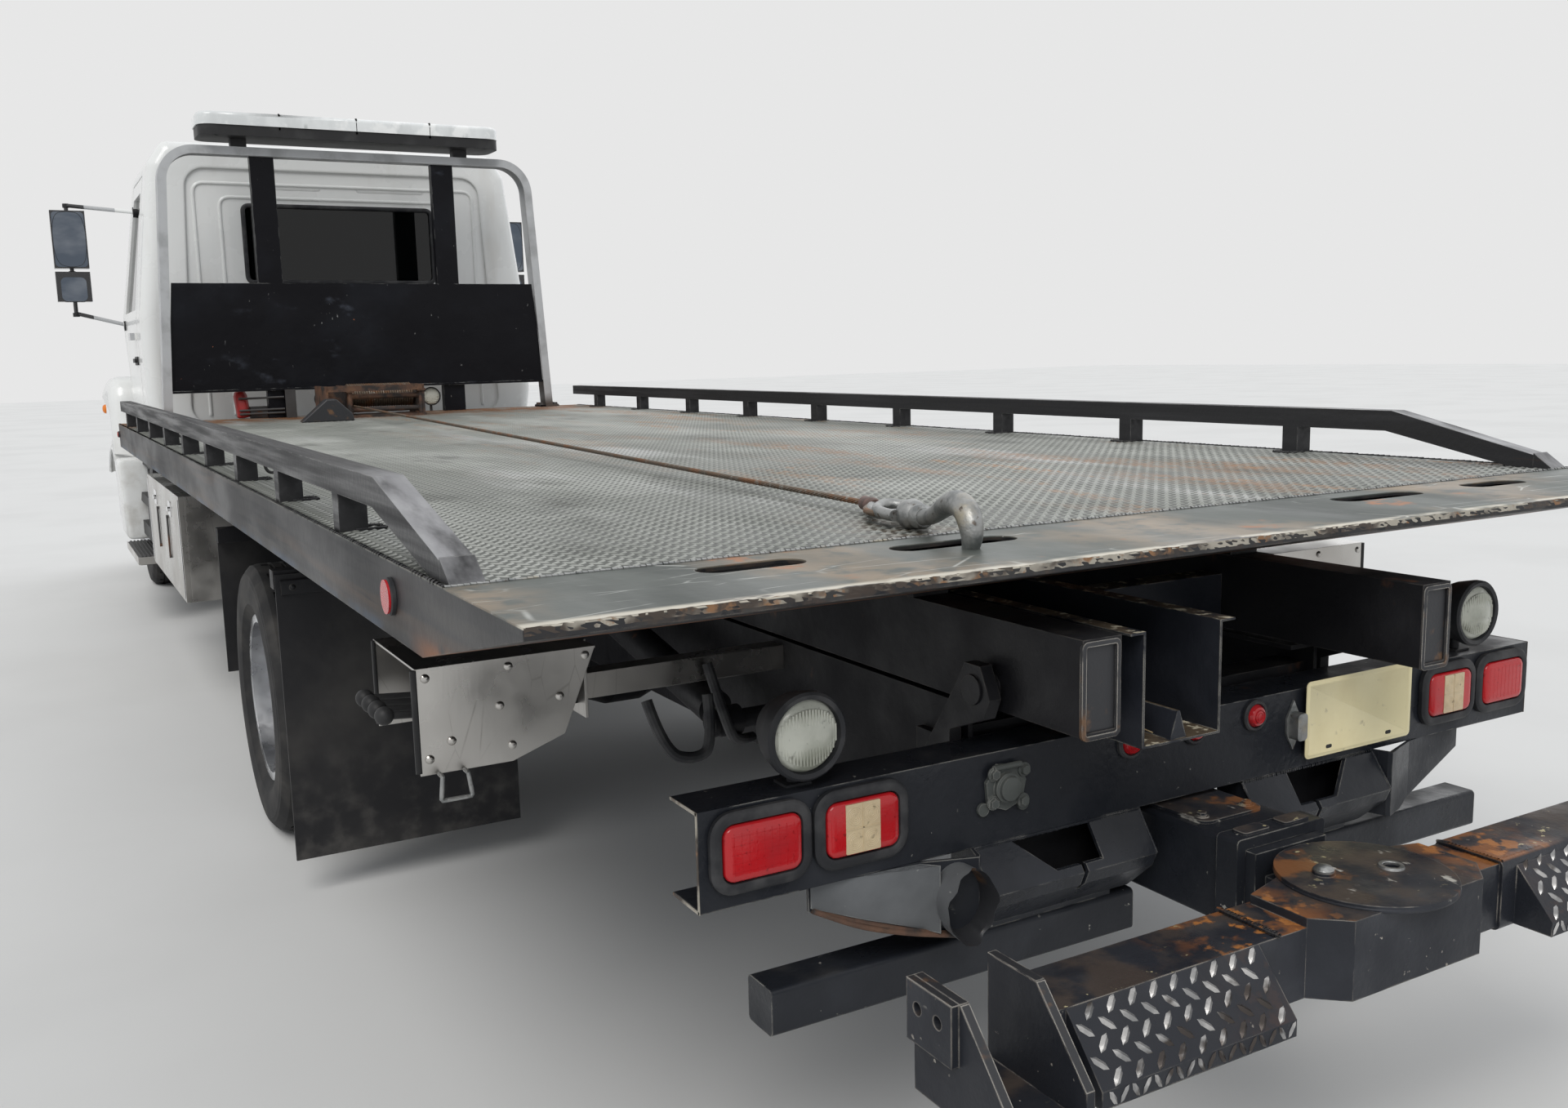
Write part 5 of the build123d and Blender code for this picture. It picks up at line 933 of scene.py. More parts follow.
bm = bmesh.new()
for x in (-0.262, 0.262):
    weld_bead(bm, (x, SWIVEL_Y - 0.057, 0.6035), (x, SWIVEL_Y + 0.057, 0.6035), 0.005)
for side in (-1, 1):
    weld_bead(bm, (side * 0.682, SWIVEL_Y - 0.052, 0.6025), (side * 0.682, SWIVEL_Y + 0.052, 0.6025), 0.006)
piece("crossbar_welds", bm, "crossbar", lift_black)

bm = bmesh.new()
for x in (-0.048, 0.048):
    rounded_block(bm, (x - 0.030, -0.192, 0.644), (x + 0.030, -0.162, 0.650), 0.006, along=2)
rounded_block(bm, (-0.075, -0.100, 0.6345), (0.075, 0.220, 0.641), 0.02, along=2)
stamp(bm, hex_small, *[at(x, y, 0.641) for x in (-0.055, 0.055) for y in (-0.075, 0.19)])
piece("boom_wear_plates", bm, "boom", lift_black)

# Subframe tubes: recessed end plates and worn rims
bm = bmesh.new()
rims = bmesh.new()
for side in (-1, 1):
    side_block(bm, side, (0.3655, 0.4265), (-0.172, -0.169), (0.872, 1.010), 0.004, 1)
    rounded_block(rims, (side * 0.396 - 0.0385, -0.1915, 0.8635), (side * 0.396 + 0.0385, -0.1860, 1.0165),
                  0.011)
    face = face_towards(rims, (0, -1, 0))
    step_face(rims, face, [(0.0015, 0.0008), (0.0065, 0.0), (0.001, -0.0045)])
    bmesh.ops.delete(rims, geom=[face], context="FACES_ONLY")
piece("tube_end_plates", bm, "tilt_frame", sheet_grey)
piece("tube_end_rims", rims, "tilt_frame", trodden_black)

# Pockets under the light bar: dark backs that stand in for the shade inside them, welds, and the left wing's
# sheet with its rolled and torn end
# painted shade: dark plates close the open pockets at the back, standing in for the shade inside them
bm = bmesh.new()
for side in (-1, 1):
    side_block(bm, side, (0.136, 0.484), (0.057, 0.061), (0.505, 0.648), 0.002, 1)
piece("pocket_shade_backs", bm, "chassis", frame_black)
sheet = bmesh.new()
plate(sheet, [(-0.578, -0.0300, 0.535), (-0.600, -0.0065, 0.540), (-0.700, 0.006, 0.574),
              (-0.788, 0.0185, 0.608), (-0.788, 0.0185, 0.648), (-0.600, -0.0065, 0.648),
              (-0.578, -0.0300, 0.648)], (0.0005, 0.0018, 0))
piece("wing_sheet", sheet, "chassis", sheet_grey)
roll_at, roll_way = Vector((-0.546, -0.062, 0.587)), Vector((-0.10, -0.99, 0.02)).normalized()
for part, profile, mat in (("sheet", [(-0.050, 0.040), (0.0, 0.042), (0.012, 0.0425)], sheet_grey),
                           ("inside", [(0.012, 0.0423), (0.0, 0.0395), (-0.045, 0.036), (-0.050, 0.0)],
                            trodden_black)):
    roll = bmesh.new()
    turned(roll, profile, roll_at, roll_way, steps=36)
    for v in roll.verts:
        angle = math.atan2(v.co.z - roll_at.z, (v.co - roll_at).dot(Vector((0.99, -0.10, 0))))
        deep = (v.co - roll_at).dot(roll_way)
        v.co.z = roll_at.z + (v.co.z - roll_at.z) * 1.45
        if deep > 0.004:
            v.co += roll_way * (0.007 * math.sin(3 * angle + 0.8) + 0.004 * math.sin(8 * angle))
    piece(f"wing_roll_{part}", roll, "chassis", mat)
bm = bmesh.new()
for side in (-1, 1):
    weld_bead(bm, (side * 0.130, 0.002, 0.6475), (side * 0.490, 0.002, 0.6475), 0.0045)
    for x in (0.1285, 0.4915):
        weld_bead(bm, (side * x, 0.0, 0.645), (side * x, -0.044, 0.582), 0.003)
piece("pocket_welds", bm, "chassis", bar_black)
edge = [(-0.505, -0.034, 0.523), (-0.56, -0.022, 0.528), (-0.62, -0.006, 0.541), (-0.70, 0.006, 0.569),
        (-0.75, 0.014, 0.588), (-0.785, 0.022, 0.604)]
torn = [(x, y - 0.004, z - 0.004 + 0.004 * math.sin(30 * x)) for x, y, z in edge]
put(bent_mesh([edge, torn], 0.0045, resolution=6), "wing_torn_edge", "chassis", rusty_edge)

# Hoses and straw in the trough, and hoses along the frame
hoses = []
for i, (x, droop) in enumerate(((-0.285, 0.0), (-0.262, 0.010), (-0.198, 0.004), (-0.178, 0.012),
                                (-0.160, 0.002))):
    hoses.append([(x, -0.150 + 0.03 * i, 0.846), (x + 0.004, 0.10, 0.848 + droop), (x - 0.004, 0.5, 0.847),
                  (x + 0.003, 1.2, 0.850 + droop), (x, 2.6, 0.847), (x, 5.6, 0.848)])
put(bent_mesh(hoses, 0.0095, resolution=6), "trough_hoses", "tilt_frame", lamp_rubber)
bm = bmesh.new()
rng = random.Random(5)
for i in range(46):
    x, y, turn = rng.uniform(-0.298, -0.154), rng.uniform(-0.17, 0.35), rng.uniform(-1.2, 1.2)
    half = rng.uniform(0.012, 0.03)
    step = Vector((math.sin(turn) * half * 0.5, math.cos(turn) * half, rng.uniform(-0.002, 0.004)))
    middle = Vector((x, y, rng.uniform(0.838, 0.858)))
    bar(bm, middle - step, middle + step, 0.0012, sides=4)
piece("straw_bits", bm, "tilt_frame", straw)
pipes = [[(side * 0.50, 0.62, 0.60), (side * 0.50, 0.50, 0.62), (side * 0.46, 0.30, 0.70),
          (side * 0.39, 0.20, 0.72)] for side in (-1, 1)]
pipes.append([(-0.66, 0.62, 0.80), (-0.66, 0.60, 0.70), (-0.70, 0.60, 0.68), (-0.76, 0.61, 0.70),
              (-0.78, 0.64, 0.80)])
pipes.append([(-0.62, 0.70, 0.84), (-0.60, 0.66, 0.72), (-0.55, 0.72, 0.66), (-0.47, 0.80, 0.64)])
put(bent_mesh(pipes, 0.011, resolution=8), "valve_hoses", "chassis", lamp_rubber)

# Control stations: bolts, edge trim, the levers' collars and a wire handle
for name, side in SIDES:
    fixings(f"station_bolts_{name}", "chassis", dome_small, (0, -1, 0),
            [(side * x, 0.5995, z) for x, z in ((1.208, 0.768), (1.168, 0.795), (1.079, 0.845),
                                                (0.967, 0.846), (1.208, 0.912), (0.915, 0.915),
                                                (1.060, 0.914), (1.060, 0.770))], stainless)
    bm = bmesh.new()
    side_block(bm, side, (1.222, 1.233), (0.598, 0.606), (0.745, 0.928), 0.003, 2)
    side_block(bm, side, (1.222, 1.230), (0.896, 0.905), (0.765, 0.928), 0.003, 2)
    for y in (0.685, 0.735, 0.785, 0.835):
        bar(bm, (side * 1.150, y, 0.825), (side * 1.168, y, 0.8265), 0.013, 0.009)
    piece(f"station_trim_{name}", bm, "chassis", dark_plastic)
    handle = [(side * 1.15, 0.594, 0.742), (side * 1.15, 0.572, 0.742), (side * 1.145, 0.570, 0.700),
              (side * 1.20, 0.570, 0.700), (side * 1.195, 0.572, 0.742), (side * 1.195, 0.594, 0.742)]
    put(bent_mesh([handle], 0.004, order=2), f"station_handle_{name}", "chassis", forged_steel)

# Mud flaps: stiffener with bolts
bm = bmesh.new()
for side in (-1, 1):
    side_block(bm, side, (0.60, 1.21), (2.040, 2.050), (0.845, 0.885), 0.003, 0)
    stamp(bm, dome_small, *[towards(side * x, 2.040, 0.865, (0, -1, 0))
                            for x in (0.64, 0.78, 0.92, 1.06, 1.18)])
piece("flap_stiffeners", bm, "chassis", frame_black)

# Frame rails: rivets along the webs
for name, side in SIDES:
    fixings(f"frame_rivets_{name}", "chassis", dome_large, (side, 0, 0),
            [(side * 0.4318, 3.3 + 0.17 * i, z) for i in range(18) for z in (0.66, 0.87)], frame_black)

# Headboard: the hoop's foot bolts, lamps behind it, extinguisher and the winch's guides
fixings("hoop_bolts", "deck", hex_large, (0, 0, 1),
        [(side * 1.064 + dx, 6.282 + dy, 1.1608) for side in (-1, 1) for dx in (-0.042, 0.042)
         for dy in (-0.03, 0.03)], iron)
bm = bmesh.new()
lenses_bm = bmesh.new()
for x, z in ((-0.248, 1.243), (0.358, 1.237)):
    turned(bm, [(0.070, 0.0), (0.066, 0.020), (0.045, 0.040), (0.006, 0.054), (-0.004, 0.054),
                (-0.006, 0.050), (0.002, 0.046)], (x, 6.280, z), (0, 1, 0))
    bar(bm, (x, 6.300, 1.150), (x, 6.300, z - 0.04), 0.008)
    turned(lenses_bm, [(0.000, 0.047), (-0.006, 0.038), (-0.010, 0.020), (-0.011, 0)], (x, 6.278, z),
           (0, 1, 0))
    for i in range(-4, 5):
        high = math.sqrt(0.043 ** 2 - (i * 0.009) ** 2)
        bar(lenses_bm, (x - high, 6.271, z + i * 0.009), (x + high, 6.271, z + i * 0.009), 0.0022, sides=6)
piece("deck_lamp_shells", bm, "deck", lamp_rubber)
piece("deck_lamp_lenses", lenses_bm, "deck", clear_lens)

bm = bmesh.new()
turned(bm, [(0, 0.0), (0.004, 0.030), (0.012, 0.036), (0.125, 0.036), (0.145, 0.028), (0.152, 0.014),
            (0.160, 0.013), (0.160, 0)], (-0.672, 6.330, 1.152), (-0.10, 0.05, 1), steps=24)
piece("extinguisher", bm, "deck", extinguisher_red)
bm = bmesh.new()
box(bm, (-0.470, 6.195, ON_DECK), (-0.415, 6.203, 1.305))
box(bm, (-0.640, 6.300, ON_DECK), (-0.480, 6.345, 1.215))
for z in (1.175, 1.195, 1.26):
    bar(bm, (-0.70, 6.29, z), (-0.47, 6.24, z + 0.004), 0.006)
piece("winch_guides", bm, "deck", iron)

# a wheel chock: a wedge with cut corners
bm = bmesh.new()
plate(bm, on_plane(1, 5.46, (-0.525, ON_DECK), (-0.395, 1.262), (-0.345, 1.262), (-0.268, 1.185),
                   (-0.262, ON_DECK)), (0.015, 0.14, 0))
piece("wheel_chock", bm, "deck", trodden_black, bevel=0.006, segments=3)

# rollers' end collars and the drum's coils of rope
bm = bmesh.new()
for z in (1.191, 1.261):
    for x in (-0.196, 0.166):
        bar(bm, (x - 0.008, 5.830, z), (x + 0.008, 5.830, z), 0.019)
for x in (-0.205, 0.175):
    bar(bm, (x, 5.815, 1.165), (x, 5.815, 1.285), 0.013)
    box(bm, (x - 0.022, 5.792, ON_DECK), (x + 0.022, 5.840, 1.163))
    box(bm, (x - 0.022, 5.792, 1.284), (x + 0.022, 5.840, 1.296))
piece("fairlead_fittings", bm, "deck", rusty_edge)
coils = []
for radius, first, count in ((0.052, -0.190, 28), (0.0635, -0.184, 27)):
    coils.append([(first + 0.0128 * turn / 8, 5.98 + radius * math.cos(math.tau * turn / 8),
                   1.264 + radius * math.sin(math.tau * turn / 8)) for turn in range(8 * count)])
put(bent_mesh(coils, 0.006, resolution=2, depth=2), "drum_rope", "deck", rope_steel)

# Guards: rings for hooks, welds at the posts' feet
FIRST_POST_Y, POST_GAP = 0.85, 0.6325
for y, way in ((2.098, 0.3), (4.237, -0.4)):
    ring = circle((-1.198, y, 1.189), (0.020 * math.cos(way), 0.020 * math.sin(way), 0), (0, 0, 0.022), 16)
    put(bent_mesh([ring], 0.0042, closed=True, resolution=3), f"hook_ring_{'near' if y < 3 else 'far'}",
        "deck", iron)
bm = bmesh.new()
for side in (-1, 1):
    for i in range(9):
        y = FIRST_POST_Y + POST_GAP * i
        for dy in (-0.026, 0.026):
            weld_bead(bm, (side * 1.206, y + dy, 1.151), (side * 1.2565, y + dy, 1.151), 0.004, 0.008)
        weld_bead(bm, (side * 1.2045, y - 0.024, 1.151), (side * 1.2045, y + 0.024, 1.151), 0.004, 0.008)
piece("post_welds", bm, "deck", guard_black)

# Beacon bar: dark base and underside, a clear cover in four lengths with dark joints between
bm = bmesh.new()
rounded_block(bm, (-0.806, 6.140, 2.640), (0.806, 6.424, 2.694), 0.075, along=2, segments=8)
for x in (-0.6, 0.6):
    box(bm, (x - 0.04, 6.252, 2.598), (x + 0.04, 6.312, 2.645))
for x in (-0.403, 0.0, 0.403):
    rounded_block(bm, (x - 0.004, 6.136, 2.680), (x + 0.004, 6.428, 2.7625), 0.03)
for x in (-0.72, -0.24, 0.24, 0.72):
    bar(bm, (x, 6.16, 2.640), (x, 6.16, 2.655), 0.012)
base = piece("beacon_base", bm, "deck", dark_plastic)
bm = bmesh.new()
ends = [-0.812, -0.405, -0.002, 0.401]
for i, x in enumerate(ends):
    verts = box(bm, (x, 6.134, 2.694), (x + 0.407, 6.430, 2.762))
    if i in (0, 3):
        far = x + 0.407 * (i > 0)
        upright = {e for v in verts for e in v.link_edges if all(abs(w.co.x - far) < 1e-6 for w in e.verts)
                   and abs(e.verts[0].co.z - e.verts[1].co.z) > 1e-6}
        round_edges(bm, upright, 0.078, 8)
tops = [e for e in bm.edges if all(v.co.z > 2.76 for v in e.verts)
        and (abs(e.verts[0].co.x - e.verts[1].co.x) > 1e-5 or abs(e.verts[0].co.x) > 0.5)]
round_edges(bm, tops, 0.022, 5)
piece("beacon_cover", bm, "deck", beacon_clear)
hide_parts("beacon_bar")

# Cab's rear wall: pressed ribs, the window's gasket and two pressings above it


def arch(half_wide, low, high, y, corner):
    """An upside-down U with rounded corners, as a smooth route."""
    half = ((half_wide, low), (half_wide, (low + high) / 2), (half_wide, high - corner), (half_wide, high),
            (half_wide - corner, high))
    return on_plane(1, y, *[(-x, z) for x, z in half], (0, high), *half[::-1])


put(bent_mesh([arch(0.795, 1.16, 2.460, 6.7155, 0.13), arch(0.660, 1.16, 2.385, 6.7155, 0.12)], 0.011,
              resolution=10, depth=3), "rear_wall_ribs", "chassis", cab_white)
window = on_plane(1, 6.714, (-0.538, 1.99), (-0.538, 2.27), (-0.538, 2.343), (-0.46, 2.343), (0, 2.343),
                  (0.46, 2.343), (0.538, 2.343), (0.538, 2.27), (0.538, 1.99), (0.538, 1.912), (0.46, 1.912),
                  (0, 1.912), (-0.46, 1.912), (-0.538, 1.912))
put(bent_mesh([window], 0.0125, closed=True, resolution=8), "rear_window_gasket", "chassis", lamp_rubber)
bm = bmesh.new()
for side in (-1, 1):
    rounded_block(bm, (side * 0.30 - 0.20, 6.7125, 2.432), (side * 0.30 + 0.20, 6.7165, 2.470), 0.018,
                  along=1)
piece("rear_wall_pressings", bm, "chassis", cab_white)

# Roof: marker lamps
bm = bmesh.new()
for x in (-0.62, -0.16, 0.0, 0.16, 0.62):
    turned(bm, [(0, 0.034), (0.010, 0.034), (0.022, 0.022), (0.027, 0.008), (0.027, 0)], (x, 7.30, 2.6575),
           (0, 0, 1), steps=20)
piece("roof_markers", bm, "chassis", amber_lens)

# Doors: handles, and the mirrors' glass, rims, lower heads and feet
for name, side in SIDES:
    body = f"door_{name}"
    bm = bmesh.new()
    side_block(bm, side, (1.119, 1.127), (7.06, 7.23), (1.455, 1.505), 0.012, 0)
    side_block(bm, side, (1.126, 1.140), (7.075, 7.20), (1.470, 1.494), 0.010, 0)
    piece(f"door_handle_{name}", bm, body, dark_plastic)
    head = side * MIRROR_X
    bm = bmesh.new()
    rounded_block(bm, (head - 0.088, 7.786, 2.058), (head + 0.088, 7.7902, 2.387), 0.022)
    rounded_block(bm, (head - 0.070, 7.7862, 1.852), (head + 0.070, 7.7902, 1.996), 0.030)
    piece(f"mirror_glass_{name}", bm, body, mirror_glass)
    bm = bmesh.new()
    verts = box(bm, (head - 0.072, 7.801, 1.848), (head + 0.072, 7.862, 2.002))
    round_edges(bm, {e for v in verts for e in v.link_edges}, 0.024, 4)
    for z in (1.772, 2.024, 2.428):
        bar(bm, (head, 7.85, z - 0.012), (head, 7.85, z + 0.012), 0.019)
    for y, z in ((7.56, 2.37), (7.80, 1.70)):
        foot = side * (1.010 if z > 2 else 1.098)
        bar(bm, (foot, y, z), (foot + side * 0.030, y, z), 0.030)
    piece(f"mirror_fittings_{name}", bm, body, dark_plastic)
    rim = on_plane(1, 7.7895, (head - 0.0905, 2.08), (head - 0.0905, 2.37), (head, 2.393),
                   (head + 0.0905, 2.37), (head + 0.0905, 2.08), (head, 2.052))
    put(bent_mesh([rim], 0.004, closed=True), f"mirror_rim_{name}", body, dark_plastic)

# Tyres: rings on the walls, grooves, and lowered blocks across the ribs
TYRE_RADIUS, GROOVE_RADIUS, TYRE_STEPS = 0.4188, 0.4085, 96
half_profile = [(0.0905, 0.2505), (0.0905, 0.264), (0.106, 0.284), (0.1145, 0.294), (0.1165, 0.2955),
                (0.117, 0.299), (0.1215, 0.318), (0.1222, 0.335), (0.1215, 0.355), (0.1195, 0.372),
                (0.1198, 0.3745), (0.1185, 0.377), (0.1172, 0.389), (0.105, 0.4055), (0.0965, 0.4145),
                (0.0775, TYRE_RADIUS)]
profile = [(-x, r) for x, r in half_profile]
for groove in (-0.050, -0.017, 0.017, 0.050):
    profile += [(groove - 0.0048, TYRE_RADIUS), (groove - 0.003, GROOVE_RADIUS),
                (groove + 0.003, GROOVE_RADIUS), (groove + 0.0048, TYRE_RADIUS)]
profile += half_profile[::-1]
bm = bmesh.new()
turned(bm, profile, (0, 0, 0), (1, 0, 0), steps=TYRE_STEPS)
bm.normal_update()
blocks = []
for face in bm.faces:
    middle = face.calc_center_median()
    radius = math.hypot(middle.y, middle.z)
    step = int((math.atan2(middle.z, middle.y) + math.pi) / math.tau * TYRE_STEPS)
    first = 0 if int((middle.x + 0.1) / 0.033) % 2 else 2
    if radius > 0.418 and abs(middle.x) < 0.0775 and step % 4 == first:
        blocks.append(face)
bmesh.ops.recalc_face_normals(bm, faces=bm.faces)
bmesh.ops.inset_individual(bm, faces=blocks, thickness=0.0012, depth=-0.006)
tyre_mesh = mesh_of(bm)
for node, body, centres, y in (("tyre_front", "wheel_front", (0.9625,), AXLE_FRONT_Y),
                               ("tyres_rear", "wheels_rear", (1.0825, 0.8105), AXLE_REAR_Y)):
    for name, side in SIDES:
        bm = bmesh.new()
        stamp(bm, tyre_mesh, *[at(side * x, y, WHEEL_Z) for x in centres])
        tyre = piece(f"{node}_{name}_treaded", bm, f"{body}_{name}", tyre_rubber, sharp=30)
        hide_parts(f"{node}_{name}")

# Wheel nuts, hub covers with their bolts, and valve stems
NUT_CIRCLE, FLANGE_CIRCLE = 0.113, 0.058
nut = bolt_unit(0.0135, 0.022)
for name, side in SIDES:
    for where, body, y, face, hub, count in (("front", f"wheel_front_{name}", AXLE_FRONT_Y, 1.0985, 1.129, 6),
                                             ("rear", f"wheels_rear_{name}", AXLE_REAR_Y, 0.9605, 0.992, 8)):
        bm = bmesh.new()
        stamp(bm, nut, *[towards(*point, (side, 0, 0))
                         for point in circle((side * face, y, WHEEL_Z), (0, NUT_CIRCLE, 0),
                                             (0, 0, NUT_CIRCLE))])
        if where == "front":
            turned(bm, [(0.0, 0.070), (0.006, 0.070), (0.009, 0.060), (0.022, 0.052), (0.028, 0.040),
                        (0.0305, 0)], (side * face, y, WHEEL_Z), (side, 0, 0))
        valve = Vector((side * (face + 0.002), y + 0.185, WHEEL_Z + 0.02))
        bar(bm, valve, valve + Vector((side * 0.035, 0.006, 0)), 0.005, 0.004)
        piece(f"wheel_nuts_{where}_{name}", bm, body, chrome)
    fixings(f"axle_flange_bolts_{name}", "chassis", hex_large, (side, 0, 0),
            circle((side * 0.9895, AXLE_REAR_Y, WHEEL_Z), (0, FLANGE_CIRCLE, 0), (0, 0, FLANGE_CIRCLE)), iron)

# Seats, dashboard with its dials and vents, and the steering wheel


def pad(low, high, rounding, tufts, lean=0.0, levels=2):
    """A stuffed pad: a block with rounded edges, and seams pressed in across its top."""
    bm = bmesh.new()
    verts = box(bm, low, high)
    round_edges(bm, {e for v in verts for e in v.link_edges}, rounding, 3)
    size = Vector(high) - Vector(low)
    longest = max(range(3), key=lambda n: size[n])
    for k in range(1, tufts):
        place = [(a + b) / 2 for a, b in zip(low, high)]
        place[longest] = low[longest] + size[longest] * k / tufts
        for shift in (-0.006, 0.0, 0.006):
            spot = list(place)
            spot[longest] += shift
            normal = [1 if n == longest else 0 for n in range(3)]
            cut = bmesh.ops.bisect_plane(bm, geom=bm.verts[:] + bm.edges[:] + bm.faces[:], plane_co=spot,
                                         plane_no=normal)
            if not shift:
                centre = Vector(place)
                for v in cut["geom_cut"]:
                    if isinstance(v, bmesh.types.BMVert):
                        v.co += (centre - v.co).normalized() * 0.012
    for v in bm.verts:
        v.co.y -= lean * (v.co.z - low[2])
    return bm


for name, x in (("driver", -SEAT_X), ("passenger", SEAT_X)):
    for part, bm in (
        ("cushion", pad((x - 0.25, 6.95, 1.225), (x + 0.25, 7.415, 1.36), 0.045, 4)),
        ("backrest", pad((x - 0.25, 6.962, 1.362), (x + 0.25, 7.072, 1.96), 0.045, 5, lean=0.125)),
        ("headrest", pad((x - 0.15, 6.895, 1.985), (x + 0.15, 6.975, 2.145), 0.035, 1, lean=0.10)),
    ):
        seat = piece(f"{name}_{part}", bm, "chassis", seat_grey)
        seat.modifiers.new("soft", "SUBSURF").render_levels = 1
        seat.modifiers["soft"].levels = 1
bm = bmesh.new()
for x in (-SEAT_X, SEAT_X):
    plate(bm, on_plane(1, 7.0, (x - 0.19, 0.99), (x + 0.19, 0.99), (x + 0.17, 1.225), (x - 0.17, 1.225)),
          (0, 0.35, 0))
    for dx in (-0.08, 0.08):
        bar(bm, (x + dx, 6.905, 1.94), (x + dx, 6.90, 2.01), 0.008)
plate(bm, on_plane(0, -1.0, (7.58, 1.52), (7.58, 1.66), (7.85, 1.69), (7.80, 1.56), (7.68, 1.20),
                   (7.68, 0.99), (7.64, 0.99)), (2.0, 0, 0))
for x in (-0.92, -0.25, 0.25, 0.92):
    for k in range(4):
        bar(bm, (x - 0.06, 7.577, 1.555 + 0.022 * k), (x + 0.06, 7.577, 1.555 + 0.022 * k), 0.006, sides=8)
for dx in (-0.11, 0.11):
    turned(bm, [(0, 0.062), (0.014, 0.062), (0.014, 0.054), (0.006, 0.052), (0.006, 0)],
           (dx - SEAT_X, 7.582, 1.605), (0, -1, 0))
bar(bm, (-SEAT_X, 7.48, 1.66), (-SEAT_X, 7.63, 1.59), 0.025)
cabin = piece("dashboard", bm, "chassis", dark_plastic)
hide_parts("cab_interior")
hub = Vector((-SEAT_X, 7.475, 1.668))
tilt_u, tilt_v = Vector((1, 0, 0)), Vector((0, 0.866, 0.5))
wheel_ring = circle(hub, tilt_u * 0.208, tilt_v * 0.208, 20)
spokes = [[hub, hub + (tilt_u * math.cos(a) + tilt_v * math.sin(a)) * 0.206] for a in (0.35, 2.79, 4.71)]
put(bent_mesh([wheel_ring], 0.015, closed=True, resolution=4), "steering_wheel", "chassis", dark_plastic)
put(bent_mesh(spokes, 0.012, order=2), "steering_spokes", "chassis", dark_plastic)

# Front: headlamp bowls and shells, grille surround and wipers
bm = bmesh.new()
for side in (-1, 1):
    for x in (0.775, 0.905):
        turned(bm, [(0.035, 0.056), (0.0, 0.058), (-0.030, 0.048), (-0.048, 0.024), (-0.052, 0.012),
                    (-0.040, 0.010), (-0.036, 0)], (side * x, 9.200 - (x - 0.775) * 0.35, 0.935), (0, 1, 0))
piece("headlamp_bowls", bm, "hood", chrome)
bm = bmesh.new()
for side in (-1, 1):
    plate(bm, [(side * 0.708, 9.185, 0.863), (side * 0.982, 9.075, 0.863), (side * 0.982, 9.075, 1.007),
               (side * 0.708, 9.185, 1.007)], (0, -0.012, 0))
piece("headlamp_shells", bm, "hood", dark_plastic)
surround = on_plane(1, 9.392, (-0.43, 0.90), (-0.43, 1.24), (-0.43, 1.272), (-0.39, 1.272), (0.39, 1.272),
                    (0.43, 1.272), (0.43, 1.24), (0.43, 0.90), (0.43, 0.862), (0.39, 0.862), (-0.39, 0.862),
                    (-0.43, 0.862))
put(bent_mesh([surround], 0.012, closed=True, resolution=6), "grille_surround", "hood", chrome)
bm = bmesh.new()
for x in (-0.42, 0.22):
    bar(bm, (x, 7.978, 1.748), (x, 7.990, 1.775), 0.016)
    bar(bm, (x, 7.985, 1.768), (x + 0.40, 7.925, 1.905), 0.006)
    bar(bm, (x + 0.12, 7.950, 1.835), (x + 0.62, 7.896, 1.960), 0.006)
piece("wipers", bm, "chassis", dark_plastic)

# Bumper: fog lamps with rims on its angled ends, and bolts on its face
bm = bmesh.new()
glass_bm = bmesh.new()
for side in (-1, 1):
    spot, facing = (side * 1.035, 9.3265, 0.520), (side * 0.485, 0.874, 0)
    turned(bm, [(-0.004, 0.058), (0.004, 0.058), (0.006, 0.050), (0.002, 0.047), (0.002, 0)], spot, facing)
    turned(glass_bm, [(0.0025, 0.046), (0.006, 0.030), (0.008, 0.012), (0.0085, 0)], spot, facing)
    stamp(bm, dome_small, *[towards(side * x, 9.4195 - 0.0006, z, (0, 1, 0)) @ Matrix.Diagonal((1, 1, 0.2, 1))
                            for x in (0.30, 0.40) for z in (0.46, 0.56)])
piece("fog_lamp_rims", bm, "chassis", chrome)
piece("fog_lamp_lenses", glass_bm, "chassis", clear_lens)

